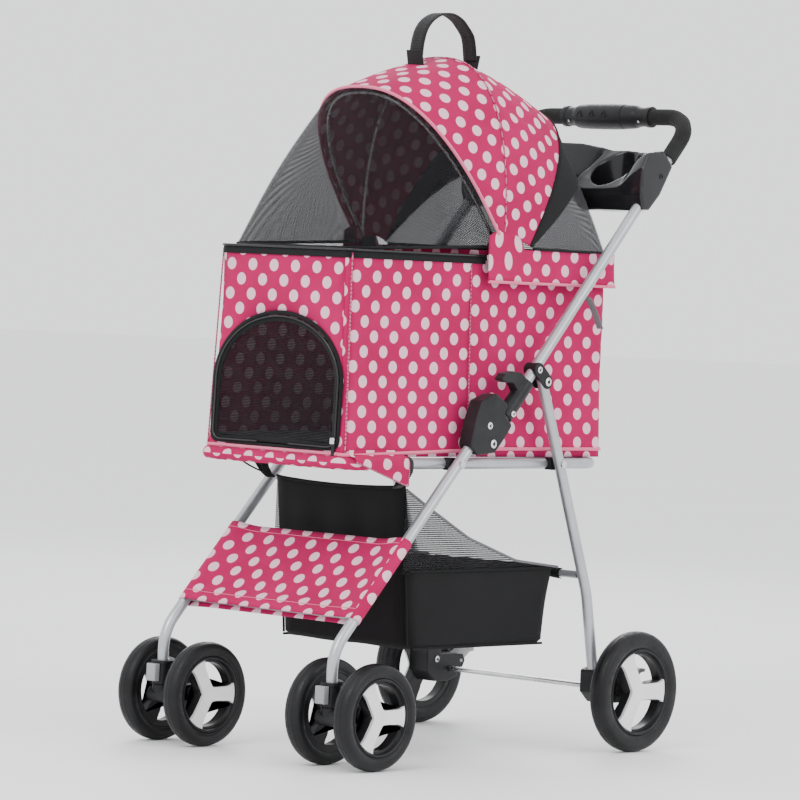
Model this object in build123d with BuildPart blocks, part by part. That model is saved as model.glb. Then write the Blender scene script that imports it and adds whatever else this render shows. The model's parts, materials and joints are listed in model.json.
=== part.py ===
from build123d import *
import os
from math import cos, hypot, pi, radians, sin, tan

# Folding pet stroller. Millimetres. +X is the stroller's left side, the front faces -Y, +Z is up.
# The origin is on the floor under the middle of the overall box.
# "reach" is the distance behind the front castor stem, "height" is the distance above the floor.

# ---- driving dimensions: wheels ----
front_wheel_d = 150.0
rear_wheel_d = 178.0
wheel_w = 28.0
tyre_depth = 20.0
rear_tyre_depth = 25.0
tyre_round = 9.0
rim_wall = 7.0
hub_d = 30.0
axle_d = 8.0
twin_spacing = 92.0
castor_trail = 41.0
rear_axle_reach = 599.0
rear_wheel_offset = 47.0

# ---- driving dimensions: tube frame ----
tube_d = 16.0
tube_wall = 1.2
side_x = 167.0
rail_x = 144.0
rail_height = 422.0
rail_front = 35.0
rail_rear = 575.0
rail_corner = 30.0
front_pivot_reach = 241.0
rear_pivot_reach = 462.0
lower_angle = 47.0
upper_angle = 48.3
fold_reach = 300.5
fold_height = 452.0
lower_tube_top = 107.0
leg_bend = 70.0
handle_length = 656.0
handle_bend = 50.0
rear_leg_knee = (536.0, 233.0)
rear_leg_foot = (561.0, 108.0)
rear_leg_bend = 150.0
pin_d = 6.0
rivet_head_d = 11.0
rivet_head_t = 1.6
basket_bar_d = 12.0
basket_bar = (526.0, 259.0)

# ---- driving dimensions: castor ----
socket_d = 28.0
socket_flange_d = 34.0
socket_flange_t = 4.0
socket_rise = 46.0
socket_length = 34.0
stem_seat = 13.5
swivel_pin_d = 10.0
fork_w = 40.0
fork_head_d = 32.0
fork_boss_d = 24.0
fork_gap = 0.5
lock_clip = (18.0, 10.0, 25.0)

# ---- driving dimensions: fold joint, lock and bracket ----
shell_cheek = 4.0
shell_play = 0.8
lock_from = 50.0
lock_to = 118.0
lock_d = 25.0
bracket_cheek = 3.0
bracket_play = 1.2

# ---- driving dimensions: handle and tray ----
foam_d = 25.0
foam_length = 88.0
grip_d = 36.0
grip_half = 86.0
grip_ring_d = 30.0
grip_ring_w = 8.0
tray_half = 157.0
tray_wing = 12.0
cup_x = 100.0
tray_back = 145.65
tray_drop = 33.05
cup_bore_d = 74.0
cup_wall = 3.0

# ---- driving dimensions: cabin, door and basket ----
cloth = 3.0
cabin_rise = 1.0
cabin_top = 720.0
cabin_half_bottom = 139.0
cabin_half_top = 130.0
cabin_front = (36.0, 43.0)
cabin_rear = (592.0, 596.0)
cabin_corner = 14.0
board_t = 5.0
mat_t = 16.0
mat_gap = 6.0
door_half = 121.0
door_sill = 442.0
door_height = 181.0
door_shoulder = 88.0
door_reach = 100.0
basket_half = 128.0

# ---- driving dimensions: canopy ----
hinge_reach = 345.0
hinge_height = 734.0
arch_power = 2.5
rim_power = 8.0
canopy_half = 144.0
rim_half = 129.0
main_bow_length = 263.0
front_bow_length = 267.0
front_bow_angle = -37.5
fabric_split = 1.2
# Each arch of the canopy cloth: foot reach and height, apex reach and height, half width, power of its curve.
front_rim = (323.0, 733.0, 45.3, 721.4, rim_half, rim_power)
front_arch = (331.6, 751.5, 177.0, 953.0, canopy_half, arch_power)
main_arch = (345.0, 756.0, 345.0, 1006.0, canopy_half, arch_power)
rear_arch = (402.0, 737.0, 526.0, 940.0, canopy_half, arch_power)
rear_rim = (410.0, 733.0, 600.0, 731.8, canopy_half, rim_power)
bow_d = 5.0
bow_eye_d = 12.0
bow_gap = 1.0
hinge_pin_d = 4.0
arch_steps = 24
skirt_bottom = 683.0
skirt_top = 730.0
skirt_front = 312.0
skirt_rear = 601.0
strap_w = 26.0
strap_t = 3.0

# ---- fits ----
running = 0.08
slide_gap = 0.3
soft_gap = 0.5

# ---- derived values ----
tube_r = tube_d / 2
pin_r = pin_d / 2
tube_bore_r = tube_r - tube_wall
front_axle_height = front_wheel_d / 2
rear_axle_height = rear_wheel_d / 2
handle_end_reach = fold_reach + handle_length * cos(radians(upper_angle))
cup_reach = fold_reach + (handle_length - tray_back) * cos(radians(upper_angle))
cup_floor = fold_height + (handle_length - tray_back) * sin(radians(upper_angle)) - tray_drop
foam_from = handle_length - foam_length
rear_wheel_x = side_x + rear_wheel_offset
socket_top = front_axle_height + socket_rise
socket_bottom = socket_top - socket_length
stem_bottom = socket_bottom + stem_seat
shell_slot_w = tube_d + shell_play
shell_w = shell_slot_w + 2 * shell_cheek
bracket_slot_w = tube_d + bracket_play
bracket_w = bracket_slot_w + 2 * bracket_cheek
cabin_bottom = rail_height + tube_r + cabin_rise
front_extent = castor_trail - front_wheel_d / 2
rear_extent = handle_end_reach + grip_d / 2
stem_y = -(front_extent + rear_extent) / 2
sides = (("left", 1), ("right", -1))
rail_inner = rail_x - tube_r
rail_outer = rail_x + tube_r
leg_inner = side_x - tube_r
leg_outer = side_x + tube_r
across = (1, 0, 0)

os.makedirs("parts", exist_ok=True)


def at(x, reach, height):
    """A point given by its side position, its reach behind the castor stem and its height."""
    return Vector(x, stem_y + reach, height)


def tube_plane(x, reach, height, angle):
    """A side-view plane whose local X runs along a tube and local Y points forward and up from it."""
    run = (0, cos(radians(angle)), sin(radians(angle)))
    return Plane(origin=at(x, reach, height), x_dir=run, z_dir=across)


def upper_plane(x):
    return tube_plane(x, fold_reach, fold_height, upper_angle)


def lower_plane(x):
    return tube_plane(x, front_pivot_reach, rail_height, lower_angle)


def side_plane(x):
    """A side-view plane whose local X is the reach and local Y is the height."""
    return Plane(origin=(x, stem_y, 0), x_dir=(0, 1, 0), z_dir=across)


def arch_plane(angle):
    """A plane through the canopy hinge, leaning back from upright by the angle."""
    lean = radians(angle)
    return Plane(origin=at(0, hinge_reach, hinge_height), x_dir=across, z_dir=(0, -cos(lean), sin(lean)))


def arch_points(half, length, power):
    """Points of a rounded arch from one foot over the apex to the other, in a plane through its feet."""
    points = []
    for step in range(arch_steps + 1):
        turn = pi * step / arch_steps
        bulge = abs(cos(turn)) ** (2 / power)
        rise = max(sin(turn), 0.0) ** (2 / power)
        points.append((half * (bulge if 2 * step <= arch_steps else -bulge), length * rise))
    return points


def arch_band(station, shift):
    """The cut face of the canopy cloth at one of its arches, shifted along the canopy by a small gap."""
    foot_reach, foot_height, apex_reach, apex_height, half, power = station
    run, lift = apex_reach - foot_reach, apex_height - foot_height
    length = hypot(run, lift)
    plane = Plane(origin=at(0, foot_reach, foot_height), x_dir=across, z_dir=(0, -lift, run))
    outer = arch_points(half, length, power)
    inner = arch_points(half - cloth, length - cloth, power)
    with BuildSketch(plane.offset(shift)) as band:
        with BuildLine():
            Spline(*outer)
            Line(outer[-1], inner[-1])
            Spline(*inner)
            Line(inner[0], outer[0])
        make_face()
    return band.sketch


def write(piece, name):
    piece.part.label = name
    export_step(piece.part, f"parts/{name}.step")


# ================= lower frame =================
front_bend_height = rail_height - front_pivot_reach * tan(radians(lower_angle))

for side, sign in sides:
    x = sign * side_x
    lower_end = lower_plane(x).from_local_coords((lower_tube_top, 0, 0))
    with BuildPart() as front_leg:
        with BuildLine() as route:
            FilletPolyline(at(x, 0, stem_bottom), at(x, 0, front_bend_height), lower_end, radius=leg_bend)
        with BuildSketch(Plane(origin=route.line @ 0, z_dir=route.line % 0)):
            Circle(tube_r)
            Circle(tube_bore_r, mode=Mode.SUBTRACT)
        sweep()
        with BuildSketch(lower_plane(x)):
            Circle(pin_r)
        extrude(amount=tube_d, both=True, mode=Mode.SUBTRACT)
    write(front_leg, f"front_leg_{side}")

    with BuildPart() as castor_socket:
        with Locations(at(x, 0, socket_bottom)):
            Cylinder(socket_d / 2, socket_top - socket_bottom, align=(Align.CENTER, Align.CENTER, Align.MIN))
        with Locations(at(x, 0, socket_top - socket_flange_t)):
            Cylinder(socket_flange_d / 2, socket_flange_t, align=(Align.CENTER, Align.CENTER, Align.MIN))
        with Locations(at(x, 0, stem_bottom)):
            Cylinder(tube_r, socket_top, align=(Align.CENTER, Align.CENTER, Align.MIN), mode=Mode.SUBTRACT)
        with Locations(at(x, 0, 0)):
            Cylinder(
                swivel_pin_d / 2 + running,
                stem_bottom,
                align=(Align.CENTER, Align.CENTER, Align.MIN),
                mode=Mode.SUBTRACT,
            )
    write(castor_socket, f"castor_socket_{side}")

# Fold shells: moulded cheeks that hold the lower tube and carry the fold pivot.
shell_outline = [
    (-34, 13),
    (-34, 33.5),
    (-2, 50),
    (28, 61),
    (56, 46),
    (62, 15),
    (47, 13),
    (47, -12),
    (30, -13.5),
    (-6, -12.5),
]
shell_floor = 14.5
for side, sign in sides:
    x = sign * side_x
    with BuildPart() as fold_shell:
        with BuildSketch(upper_plane(x)):
            Polygon(*shell_outline, align=None)
        extrude(amount=shell_w / 2, both=True)
        fillet(fold_shell.edges().filter_by(Axis.X), radius=5)
        with BuildSketch(upper_plane(x)):
            with Locations((0, shell_floor)):
                Rectangle(300, 100, align=(Align.CENTER, Align.MAX))
        extrude(amount=shell_slot_w / 2, both=True, mode=Mode.SUBTRACT)
        with BuildSketch(upper_plane(x)):
            Circle(pin_r)
        extrude(amount=shell_w, both=True, mode=Mode.SUBTRACT)
        lower_run = lower_plane(x).x_dir
        with BuildSketch(Plane(origin=lower_plane(x).origin, z_dir=lower_run)):
            Circle(tube_r)
        extrude(amount=lower_tube_top, mode=Mode.SUBTRACT)
    write(fold_shell, f"fold_shell_{side}")

# Pins of the fold pivots and of the rail's front pivots, all fixed in the lower frame.
with BuildPart() as fold_pins:
    for side, sign in sides:
        x = sign * side_x
        shell_half = shell_w / 2
        with BuildSketch(upper_plane(x).offset(-shell_half)):
            Circle(pin_r)
        extrude(amount=shell_w)
        for start in (-shell_half - rivet_head_t + 0.4, shell_half):
            thickness = rivet_head_t if start > 0 else rivet_head_t - 0.4
            with BuildSketch(upper_plane(x).offset(start)):
                Circle(rivet_head_d / 2)
            extrude(amount=thickness)
        pin_start = sign * (rail_inner - slide_gap)
        pin_end = sign * leg_outer
        with BuildSketch(side_plane(pin_start)):
            with Locations((front_pivot_reach, rail_height)):
                Circle(pin_r)
        extrude(amount=pin_end - pin_start)
        for start, way in ((pin_start, -sign), (pin_end, sign)):
            with BuildSketch(side_plane(start)):
                with Locations((front_pivot_reach, rail_height)):
                    Circle(rivet_head_d / 2)
            extrude(amount=way * rivet_head_t)
write(fold_pins, "fold_pins")

# Footrest cloth wrapped round both lower tubes, with a cross bar in its lower hem.
footrest_low = (204.0 - rail_height) / sin(radians(lower_angle))
footrest_high = (313.0 - rail_height) / sin(radians(lower_angle))
footrest_t = tube_d + 3.0
cross_bar_d = 12.0
cross_bar_run = footrest_low + 10.0
lower_run = lower_plane(0).x_dir
with BuildPart() as footrest:
    base = lower_plane(0).from_local_coords((footrest_low, 0, 0))
    with BuildSketch(Plane(origin=base, x_dir=across, z_dir=lower_run)):
        SlotOverall(2 * side_x + footrest_t, footrest_t)
        with Locations((side_x, 0), (-side_x, 0)):
            Circle(tube_r, mode=Mode.SUBTRACT)
    extrude(amount=footrest_high - footrest_low)
    with BuildSketch(lower_plane(-side_x)):
        with Locations((cross_bar_run, 0)):
            Circle(cross_bar_d / 2)
    extrude(amount=2 * side_x, mode=Mode.SUBTRACT)
write(footrest, "footrest")

with BuildPart() as front_cross_bar:
    with BuildSketch(lower_plane(-leg_inner)):
        with Locations((cross_bar_run, 0)):
            Circle(cross_bar_d / 2)
            Circle(cross_bar_d / 2 - tube_wall, mode=Mode.SUBTRACT)
    extrude(amount=2 * leg_inner)
write(front_cross_bar, "front_cross_bar")

# ================= castors =================
clip_x, clip_y, clip_z = lock_clip
fork_top = socket_bottom - fork_gap
wheel_gap = twin_spacing / 2 - wheel_w / 2
for side, sign in sides:
    x = sign * side_x
    clip_base = at(x, -socket_d / 2 - slide_gap, socket_top - socket_flange_t - clip_z - slide_gap)
    with BuildPart() as swivel_lock:
        with Locations(clip_base):
            Box(clip_x, clip_y, clip_z, align=(Align.CENTER, Align.MAX, Align.MIN))
        fillet(swivel_lock.faces().sort_by(Axis.Y)[0].edges(), radius=2)
    write(swivel_lock, f"swivel_lock_{side}")

    with BuildPart() as castor_fork:
        with BuildSketch(side_plane(x)):
            with Locations((0, front_axle_height - 4)):
                Circle(fork_head_d / 2 - 5)
            with Locations((castor_trail, front_axle_height)):
                Circle(fork_boss_d / 2)
            make_hull()
        extrude(amount=fork_w / 2, both=True)
        with BuildSketch(Plane.XY.offset(fork_top)):
            with Locations((x, stem_y)):
                Circle(fork_head_d / 2 - 3)
        extrude(amount=front_axle_height - fork_top)
        with BuildSketch(Plane.XY.offset(fork_top)):
            with Locations((x, stem_y)):
                Circle(swivel_pin_d / 2)
        extrude(amount=stem_bottom - 1 - fork_top)
        with BuildSketch(side_plane(x)):
            with Locations((castor_trail, front_axle_height)):
                Circle(axle_d)
        extrude(amount=wheel_gap - 1, both=True)
        with BuildSketch(side_plane(x)):
            with Locations((castor_trail, front_axle_height)):
                Circle(axle_d / 2)
        extrude(amount=twin_spacing, both=True, mode=Mode.SUBTRACT)
    write(castor_fork, f"castor_fork_{side}")

    with BuildPart() as castor_axle:
        with BuildSketch(side_plane(x)):
            with Locations((castor_trail, front_axle_height)):
                Circle(axle_d / 2)
        extrude(amount=twin_spacing / 2 + wheel_w / 4, both=True)
    write(castor_axle, f"castor_axle_{side}")

# ================= wheels =================
# Each wheel is a tyre on a three-spoke rim, with its blind hub bore open towards the inner face.
wheels = []
for side, sign in sides:
    for place, inboard in (("inner", -1), ("outer", 1)):
        centre = at(sign * (side_x + inboard * twin_spacing / 2), castor_trail, front_axle_height)
        wheels.append((f"front_{place}_{side}", centre, front_wheel_d, tyre_depth, sign * inboard))
    centre = at(sign * rear_wheel_x, rear_axle_reach, rear_axle_height)
    wheels.append((f"rear_{side}", centre, rear_wheel_d, rear_tyre_depth, sign))

spoke_turns = (0, 120, 240)
for name, centre, wheel_d, depth, outward in wheels:
    seat_r = wheel_d / 2 - depth
    across_wheel = Plane(origin=centre, x_dir=across, z_dir=(0, -1, 0))
    wheel_side = Plane(origin=centre, x_dir=(0, 1, 0), z_dir=across)
    axle_line = Axis(centre, across)
    with BuildPart() as tyre:
        with BuildSketch(across_wheel):
            with Locations((0, seat_r)):
                Rectangle(wheel_w, depth, align=(Align.CENTER, Align.MIN))
        revolve(axis=axle_line)
        treads = tyre.edges().filter_by(GeomType.CIRCLE).group_by(SortBy.RADIUS)[-1]
        fillet(treads, radius=tyre_round)
    write(tyre, f"tyre_{name}")

    rim_face = wheel_w / 2 - 2
    with BuildPart() as rim:
        with BuildSketch(wheel_side):
            Circle(seat_r)
            Circle(seat_r - rim_wall, mode=Mode.SUBTRACT)
        extrude(amount=rim_face, both=True)
        with BuildSketch(wheel_side):
            Circle(hub_d / 2)
        extrude(amount=wheel_w / 2, both=True)
        with BuildSketch(wheel_side):
            for turn in spoke_turns:
                with Locations(Rotation(0, 0, turn)):
                    Polygon((0, -8), (seat_r - 4, -15), (seat_r - 4, 15), (0, 8), align=None)
        extrude(amount=rim_face - 3, both=True)
        bore_mouth = centre - Vector(outward * wheel_w, 0, 0)
        with BuildSketch(Plane(origin=bore_mouth, x_dir=(0, 1, 0), z_dir=(outward, 0, 0))):
            Circle(axle_d / 2 + running)
        extrude(amount=wheel_w + wheel_w / 4 + 1, mode=Mode.SUBTRACT)
    write(rim, f"rim_{name}")

# ================= upper frame =================
with BuildPart() as handle_tube:
    ends = [upper_plane(sign * side_x).from_local_coords((-tube_r, 0, 0)) for side, sign in sides]
    corners = [upper_plane(sign * side_x).from_local_coords((handle_length, 0, 0)) for side, sign in sides]
    with BuildLine() as route:
        FilletPolyline(ends[0], corners[0], corners[1], ends[1], radius=handle_bend)
    with BuildSketch(Plane(origin=route.line @ 0, z_dir=route.line % 0)):
        Circle(tube_r)
        Circle(tube_bore_r, mode=Mode.SUBTRACT)
    sweep()
    with BuildSketch(upper_plane(0)):
        Circle(pin_r + running)
    extrude(amount=side_x + tube_d, both=True, mode=Mode.SUBTRACT)
write(handle_tube, "handle_tube")

with BuildPart() as foam_grips:
    for side, sign in sides:
        start = upper_plane(sign * side_x).from_local_coords((foam_from, 0, 0))
        corner = upper_plane(sign * side_x).from_local_coords((handle_length, 0, 0))
        end = upper_plane(sign * grip_half).from_local_coords((handle_length, 0, 0))
        with BuildLine() as route:
            FilletPolyline(start, corner, end, radius=handle_bend)
        with BuildSketch(Plane(origin=route.line @ 0, z_dir=route.line % 0)):
            Circle(foam_d / 2)
            Circle(tube_r + running, mode=Mode.SUBTRACT)
        sweep()
write(foam_grips, "foam_grips")

# The centre grip swells between two end rings.
with BuildPart() as handle_grip:
    bar_line = upper_plane(0).from_local_coords((handle_length, 0, 0))
    with BuildSketch(Plane(origin=bar_line, x_dir=across, z_dir=(0, -1, 0))):
        with BuildLine():
            Polyline(
                (-grip_half, tube_r + running),
                (-grip_half, grip_ring_d / 2),
                (-grip_half + grip_ring_w, grip_ring_d / 2),
                (-grip_half + grip_ring_w + 2, grip_ring_d / 2 - 1.5),
            )
            Spline(
                (-grip_half + grip_ring_w + 2, grip_ring_d / 2 - 1.5),
                (-grip_half / 2, grip_d / 2 - 0.5),
                (0, grip_d / 2),
                (grip_half / 2, grip_d / 2 - 0.5),
                (grip_half - grip_ring_w - 2, grip_ring_d / 2 - 1.5),
            )
            Polyline(
                (grip_half - grip_ring_w - 2, grip_ring_d / 2 - 1.5),
                (grip_half - grip_ring_w, grip_ring_d / 2),
                (grip_half, grip_ring_d / 2),
                (grip_half, tube_r + running),
                (-grip_half, tube_r + running),
            )
        make_face()
    revolve(axis=Axis(bar_line, across))
write(handle_grip, "handle_grip")

# Parent tray: a sloping moulding between the tubes, with a cup well and an open bin beside it.
# Its profiles are drawn from the middle of the cup's floor.
tray_low = -3.0
tray_shelf = 22.0
tray_crest = 89.0
tray_profile = [(-46, tray_low), (-49, 29), (-28, 50), (28, tray_crest), (41, 84), (36, 50), (5, tray_low)]
wing_profile = [(-29, tray_low), (-37, 30), (-32, 79), (22, tray_crest), (39, 62), (6, 15), (-14, tray_low)]
bin_left = cup_x - cup_bore_d / 2 - 2 * cup_wall


def tray_plane(x):
    """A side-view plane with its origin at the middle of the cup's floor."""
    return Plane(origin=at(x, cup_reach, cup_floor), x_dir=(0, 1, 0), z_dir=across)


cup_outer_r = cup_bore_d / 2 + cup_wall
with BuildPart() as drinks_tray:
    with BuildSketch(tray_plane(0)):
        Polygon(*tray_profile, align=None)
    extrude(amount=tray_half, both=True)
    with Locations(at(cup_x, cup_reach, cup_floor + tray_low)):
        Cylinder(cup_outer_r, tray_crest - tray_low, align=(Align.CENTER, Align.CENTER, Align.MIN))
    with BuildSketch(tray_plane(cup_x - cup_outer_r)):
        Polygon((-49, 29), (51, 107), (51, 200), (-140, 200), (-140, 29), align=None)
    extrude(amount=2 * cup_outer_r, mode=Mode.SUBTRACT)
    with BuildSketch(tray_plane(-tray_half)):
        Polygon((-60, -20), (60, -20), (60, tray_shelf), (-60, tray_shelf), align=None)
    extrude(amount=tray_half + bin_left + cup_wall, mode=Mode.SUBTRACT)
    with BuildSketch(tray_plane(-tray_half + cup_wall)):
        Polygon((-42, tray_shelf + cup_wall), (30, tray_shelf + cup_wall), (33, 150), (-42, 150), align=None)
    extrude(amount=tray_half - cup_wall + bin_left - cup_wall, mode=Mode.SUBTRACT)
    with Locations(at(cup_x, cup_reach, cup_floor)):
        Cylinder(cup_bore_d / 2, 200, align=(Align.CENTER, Align.CENTER, Align.MIN), mode=Mode.SUBTRACT)
    for side, sign in sides:
        with BuildSketch(tray_plane(sign * tray_half)):
            Polygon(*wing_profile, align=None)
        extrude(amount=sign * (side_x + tray_wing - tray_half))
        with BuildSketch(Plane(origin=upper_plane(sign * side_x).origin, z_dir=upper_plane(0).x_dir)):
            Circle(tube_r + running)
        extrude(amount=handle_length, mode=Mode.SUBTRACT)
        foam_seat = upper_plane(sign * side_x).from_local_coords((foam_from - soft_gap, 0, 0))
        with BuildSketch(Plane(origin=foam_seat, z_dir=upper_plane(0).x_dir)):
            Circle(foam_d / 2 + soft_gap)
        extrude(amount=handle_length, mode=Mode.SUBTRACT)
write(drinks_tray, "drinks_tray")

# Clevis brackets on the upper tubes: the top of each rear leg lies between their cheeks.
bracket_pivot = upper_plane(0).to_local_coords(at(0, 415, 542))
bracket_slot = tube_r + 2.5
with BuildPart() as leg_brackets:
    for side, sign in sides:
        x = sign * side_x
        with BuildSketch(upper_plane(x)):
            with Locations((bracket_pivot.X, 0)):
                Circle(bracket_slot)
            with Locations((bracket_pivot.X, bracket_pivot.Y)):
                Circle(bracket_slot)
            make_hull()
        extrude(amount=bracket_w / 2, both=True)
        with BuildSketch(upper_plane(x)):
            with Locations((bracket_pivot.X, -bracket_slot)):
                Rectangle(100, 60, align=(Align.CENTER, Align.MAX))
        extrude(amount=bracket_slot_w / 2, both=True, mode=Mode.SUBTRACT)
        with BuildSketch(Plane(origin=upper_plane(x).origin, z_dir=upper_plane(0).x_dir)):
            Circle(tube_r)
        extrude(amount=handle_length, mode=Mode.SUBTRACT)
        with BuildSketch(upper_plane(x)):
            with Locations((bracket_pivot.X, bracket_pivot.Y)):
                Circle(pin_r)
        extrude(amount=bracket_w, both=True, mode=Mode.SUBTRACT)
write(leg_brackets, "leg_brackets")

with BuildPart() as bracket_rivets:
    for side, sign in sides:
        for way in (-1, 1):
            cheek = upper_plane(sign * side_x).offset(way * (bracket_slot_w / 2 + 0.2))
            with BuildSketch(cheek):
                with Locations((bracket_pivot.X, bracket_pivot.Y)):
                    Circle(pin_r)
            extrude(amount=way * (bracket_w - bracket_slot_w) / 2)
            with BuildSketch(upper_plane(sign * side_x).offset(way * bracket_w / 2)):
                with Locations((bracket_pivot.X, bracket_pivot.Y)):
                    Circle(rivet_head_d / 2)
            extrude(amount=way * rivet_head_t)
write(bracket_rivets, "bracket_rivets")

# Fold locks: sprung sleeves on the upper tubes, each with a finger lever.
for side, sign in sides:
    x = sign * side_x
    with BuildPart() as fold_lock:
        sleeve_foot = upper_plane(x).from_local_coords((lock_from, 0, 0))
        with BuildSketch(Plane(origin=sleeve_foot, z_dir=upper_plane(0).x_dir)):
            Circle(lock_d / 2)
        extrude(amount=lock_to - lock_from)
        with BuildSketch(upper_plane(x)):
            Polygon((92, 6), (118, 6), (117, 22), (106, 38), (92, 48), (80, 48), (84, 38), (94, 26), align=None)
        extrude(amount=8, both=True)
        fillet(fold_lock.edges().filter_by(Axis.X), radius=1.5)
        with BuildSketch(Plane(origin=upper_plane(x).origin, z_dir=upper_plane(0).x_dir)):
            Circle(tube_r + slide_gap)
        extrude(amount=handle_length, mode=Mode.SUBTRACT)
    write(fold_lock, f"fold_lock_{side}")

# ================= carriage: rail, cabin and canopy base =================
with BuildPart() as rail_loop:
    with BuildLine() as route:
        FilletPolyline(
            at(0, rail_front, rail_height),
            at(rail_x, rail_front, rail_height),
            at(rail_x, rail_rear, rail_height),
            at(0, rail_rear, rail_height),
            radius=rail_corner,
        )
    with BuildSketch(Plane(origin=route.line @ 0, z_dir=route.line % 0)):
        Circle(tube_r)
        Circle(tube_bore_r, mode=Mode.SUBTRACT)
    sweep()
    mirror(about=Plane.YZ)
    with BuildSketch(side_plane(0)):
        with Locations((front_pivot_reach, rail_height)):
            Circle(pin_r + running)
        with Locations((rear_pivot_reach, rail_height)):
            Circle(pin_r)
    extrude(amount=rail_outer + 1, both=True, mode=Mode.SUBTRACT)
write(rail_loop, "rail_loop")

spacer_size = 18.0
with BuildPart() as rail_spacers:
    for side, sign in sides:
        for reach, hole_r in ((front_pivot_reach, pin_r + running), (rear_pivot_reach, pin_r)):
            with BuildSketch(side_plane(sign * (rail_x + 2))):
                with Locations((reach, rail_height)):
                    RectangleRounded(spacer_size, spacer_size, 3)
            extrude(amount=sign * (leg_inner - slide_gap - rail_x - 2))
            with BuildSketch(Plane.XZ.offset(-(stem_y + reach - spacer_size))):
                with Locations((sign * rail_x, rail_height)):
                    Circle(tube_r)
            extrude(amount=-2 * spacer_size, mode=Mode.SUBTRACT)
            with BuildSketch(side_plane(0)):
                with Locations((reach, rail_height)):
                    Circle(hole_r)
            extrude(amount=sign * side_x, mode=Mode.SUBTRACT)
write(rail_spacers, "rail_spacers")

with BuildPart() as rear_pins:
    for side, sign in sides:
        pin_start = sign * rail_inner
        pin_end = sign * (leg_outer + slide_gap)
        with BuildSketch(side_plane(pin_start)):
            with Locations((rear_pivot_reach, rail_height)):
                Circle(pin_r)
        extrude(amount=pin_end - pin_start)
        for start, way in ((pin_start, -sign), (pin_end, sign)):
            with BuildSketch(side_plane(start)):
                with Locations((rear_pivot_reach, rail_height)):
                    Circle(rivet_head_d / 2)
            extrude(amount=way * rivet_head_t)
write(rear_pins, "rear_pins")


def cabin_ring(level, half, front, rear, shrink):
    """A rounded rectangle of the cabin's plan at one height."""
    with BuildSketch(Plane.XY.offset(level)) as ring:
        with Locations((0, stem_y + (front + rear) / 2)):
            RectangleRounded(2 * (half - shrink), rear - front - 2 * shrink, cabin_corner - shrink)
    return ring.sketch


def door_outline(clearance):
    """The domed outline of the front door, in a plane facing forward."""
    half = door_half - clearance
    crown = door_height - door_shoulder - clearance
    bottom_up = (Align.CENTER, Align.MIN)
    with BuildSketch(Plane(origin=at(0, 0, door_sill), x_dir=across, z_dir=(0, -1, 0))) as outline:
        with Locations((0, door_shoulder)):
            Ellipse(half, crown)
        Rectangle(2 * half, door_shoulder, align=bottom_up)
        with Locations((0, clearance)):
            Rectangle(2 * half, door_height, align=bottom_up, mode=Mode.INTERSECT)
    return outline.sketch


with BuildPart() as cabin_outer:
    add(cabin_ring(cabin_bottom, cabin_half_bottom, cabin_front[0], cabin_rear[0], 0))
    add(cabin_ring(cabin_top, cabin_half_top, cabin_front[1], cabin_rear[1], 0))
    loft()
with BuildPart() as cabin_inner:
    add(cabin_ring(cabin_bottom, cabin_half_bottom, cabin_front[0], cabin_rear[0], cloth))
    add(cabin_ring(cabin_top, cabin_half_top, cabin_front[1], cabin_rear[1], cloth))
    loft()
with BuildPart() as cabin_shell:
    add(cabin_outer.part)
    add(cabin_inner.part, mode=Mode.SUBTRACT)
with BuildPart() as cabin:
    add(cabin_shell.part)
    floor_ring = cabin_ring(cabin_bottom, cabin_half_bottom, cabin_front[0], cabin_rear[0], cloth / 2)
    extrude(floor_ring, amount=cloth)
    extrude(door_outline(0), amount=door_reach, both=True, mode=Mode.SUBTRACT)
write(cabin, "cabin")

with BuildPart() as front_door:
    add(cabin_shell.part)
    extrude(door_outline(soft_gap), amount=door_reach, both=True, mode=Mode.INTERSECT)
write(front_door, "front_door")

board_level = cabin_bottom + cloth
with BuildPart() as floor_board:
    board_ring = cabin_ring(board_level, cabin_half_bottom, cabin_front[0], cabin_rear[0], cloth + mat_gap / 2)
    extrude(board_ring, amount=board_t)
write(floor_board, "floor_board")

with BuildPart() as floor_mat:
    mat_level = board_level + board_t
    mat_ring = cabin_ring(mat_level, cabin_half_bottom, cabin_front[0], cabin_rear[0], cloth + mat_gap)
    extrude(mat_ring, amount=mat_t)
    fillet(floor_mat.faces().sort_by(Axis.Z)[-1].edges(), radius=5)
write(floor_mat, "floor_mat")

# Hinge plates inside the cabin's top edge, with the pins that both canopy bows turn on.
main_bow_half = canopy_half - cloth - bow_gap - bow_d / 2
front_bow_half = main_bow_half - bow_d - 2.5 * bow_gap
plate_outer = cabin_half_top - cloth - soft_gap
plate_inner = plate_outer - 4
with BuildPart() as hinge_plates:
    for side, sign in sides:
        with BuildSketch(side_plane(sign * plate_inner)):
            with Locations((hinge_reach, hinge_height - 18)):
                RectangleRounded(26, 52, 8)
        extrude(amount=sign * (plate_outer - plate_inner))
        with BuildSketch(side_plane(sign * plate_inner)):
            with Locations((hinge_reach, hinge_height)):
                Circle(hinge_pin_d / 2)
        extrude(amount=sign * (main_bow_half + bow_d / 2 - plate_inner))
write(hinge_plates, "hinge_plates")

with BuildPart() as canopy_skirt:
    skirt_length = 2 * (skirt_rear - skirt_front)
    skirt_gap = cloth - soft_gap
    with BuildSketch(Plane.XY.offset(skirt_bottom)):
        with Locations((0, stem_y + skirt_front)):
            RectangleRounded(2 * canopy_half, skirt_length, cabin_corner)
            RectangleRounded(
                2 * (canopy_half - skirt_gap),
                skirt_length - 2 * skirt_gap,
                cabin_corner - skirt_gap,
                mode=Mode.SUBTRACT,
            )
            Rectangle(3 * canopy_half, skirt_length, align=(Align.CENTER, Align.MAX), mode=Mode.SUBTRACT)
    extrude(amount=skirt_top - skirt_bottom)
write(canopy_skirt, "canopy_skirt")


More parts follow.
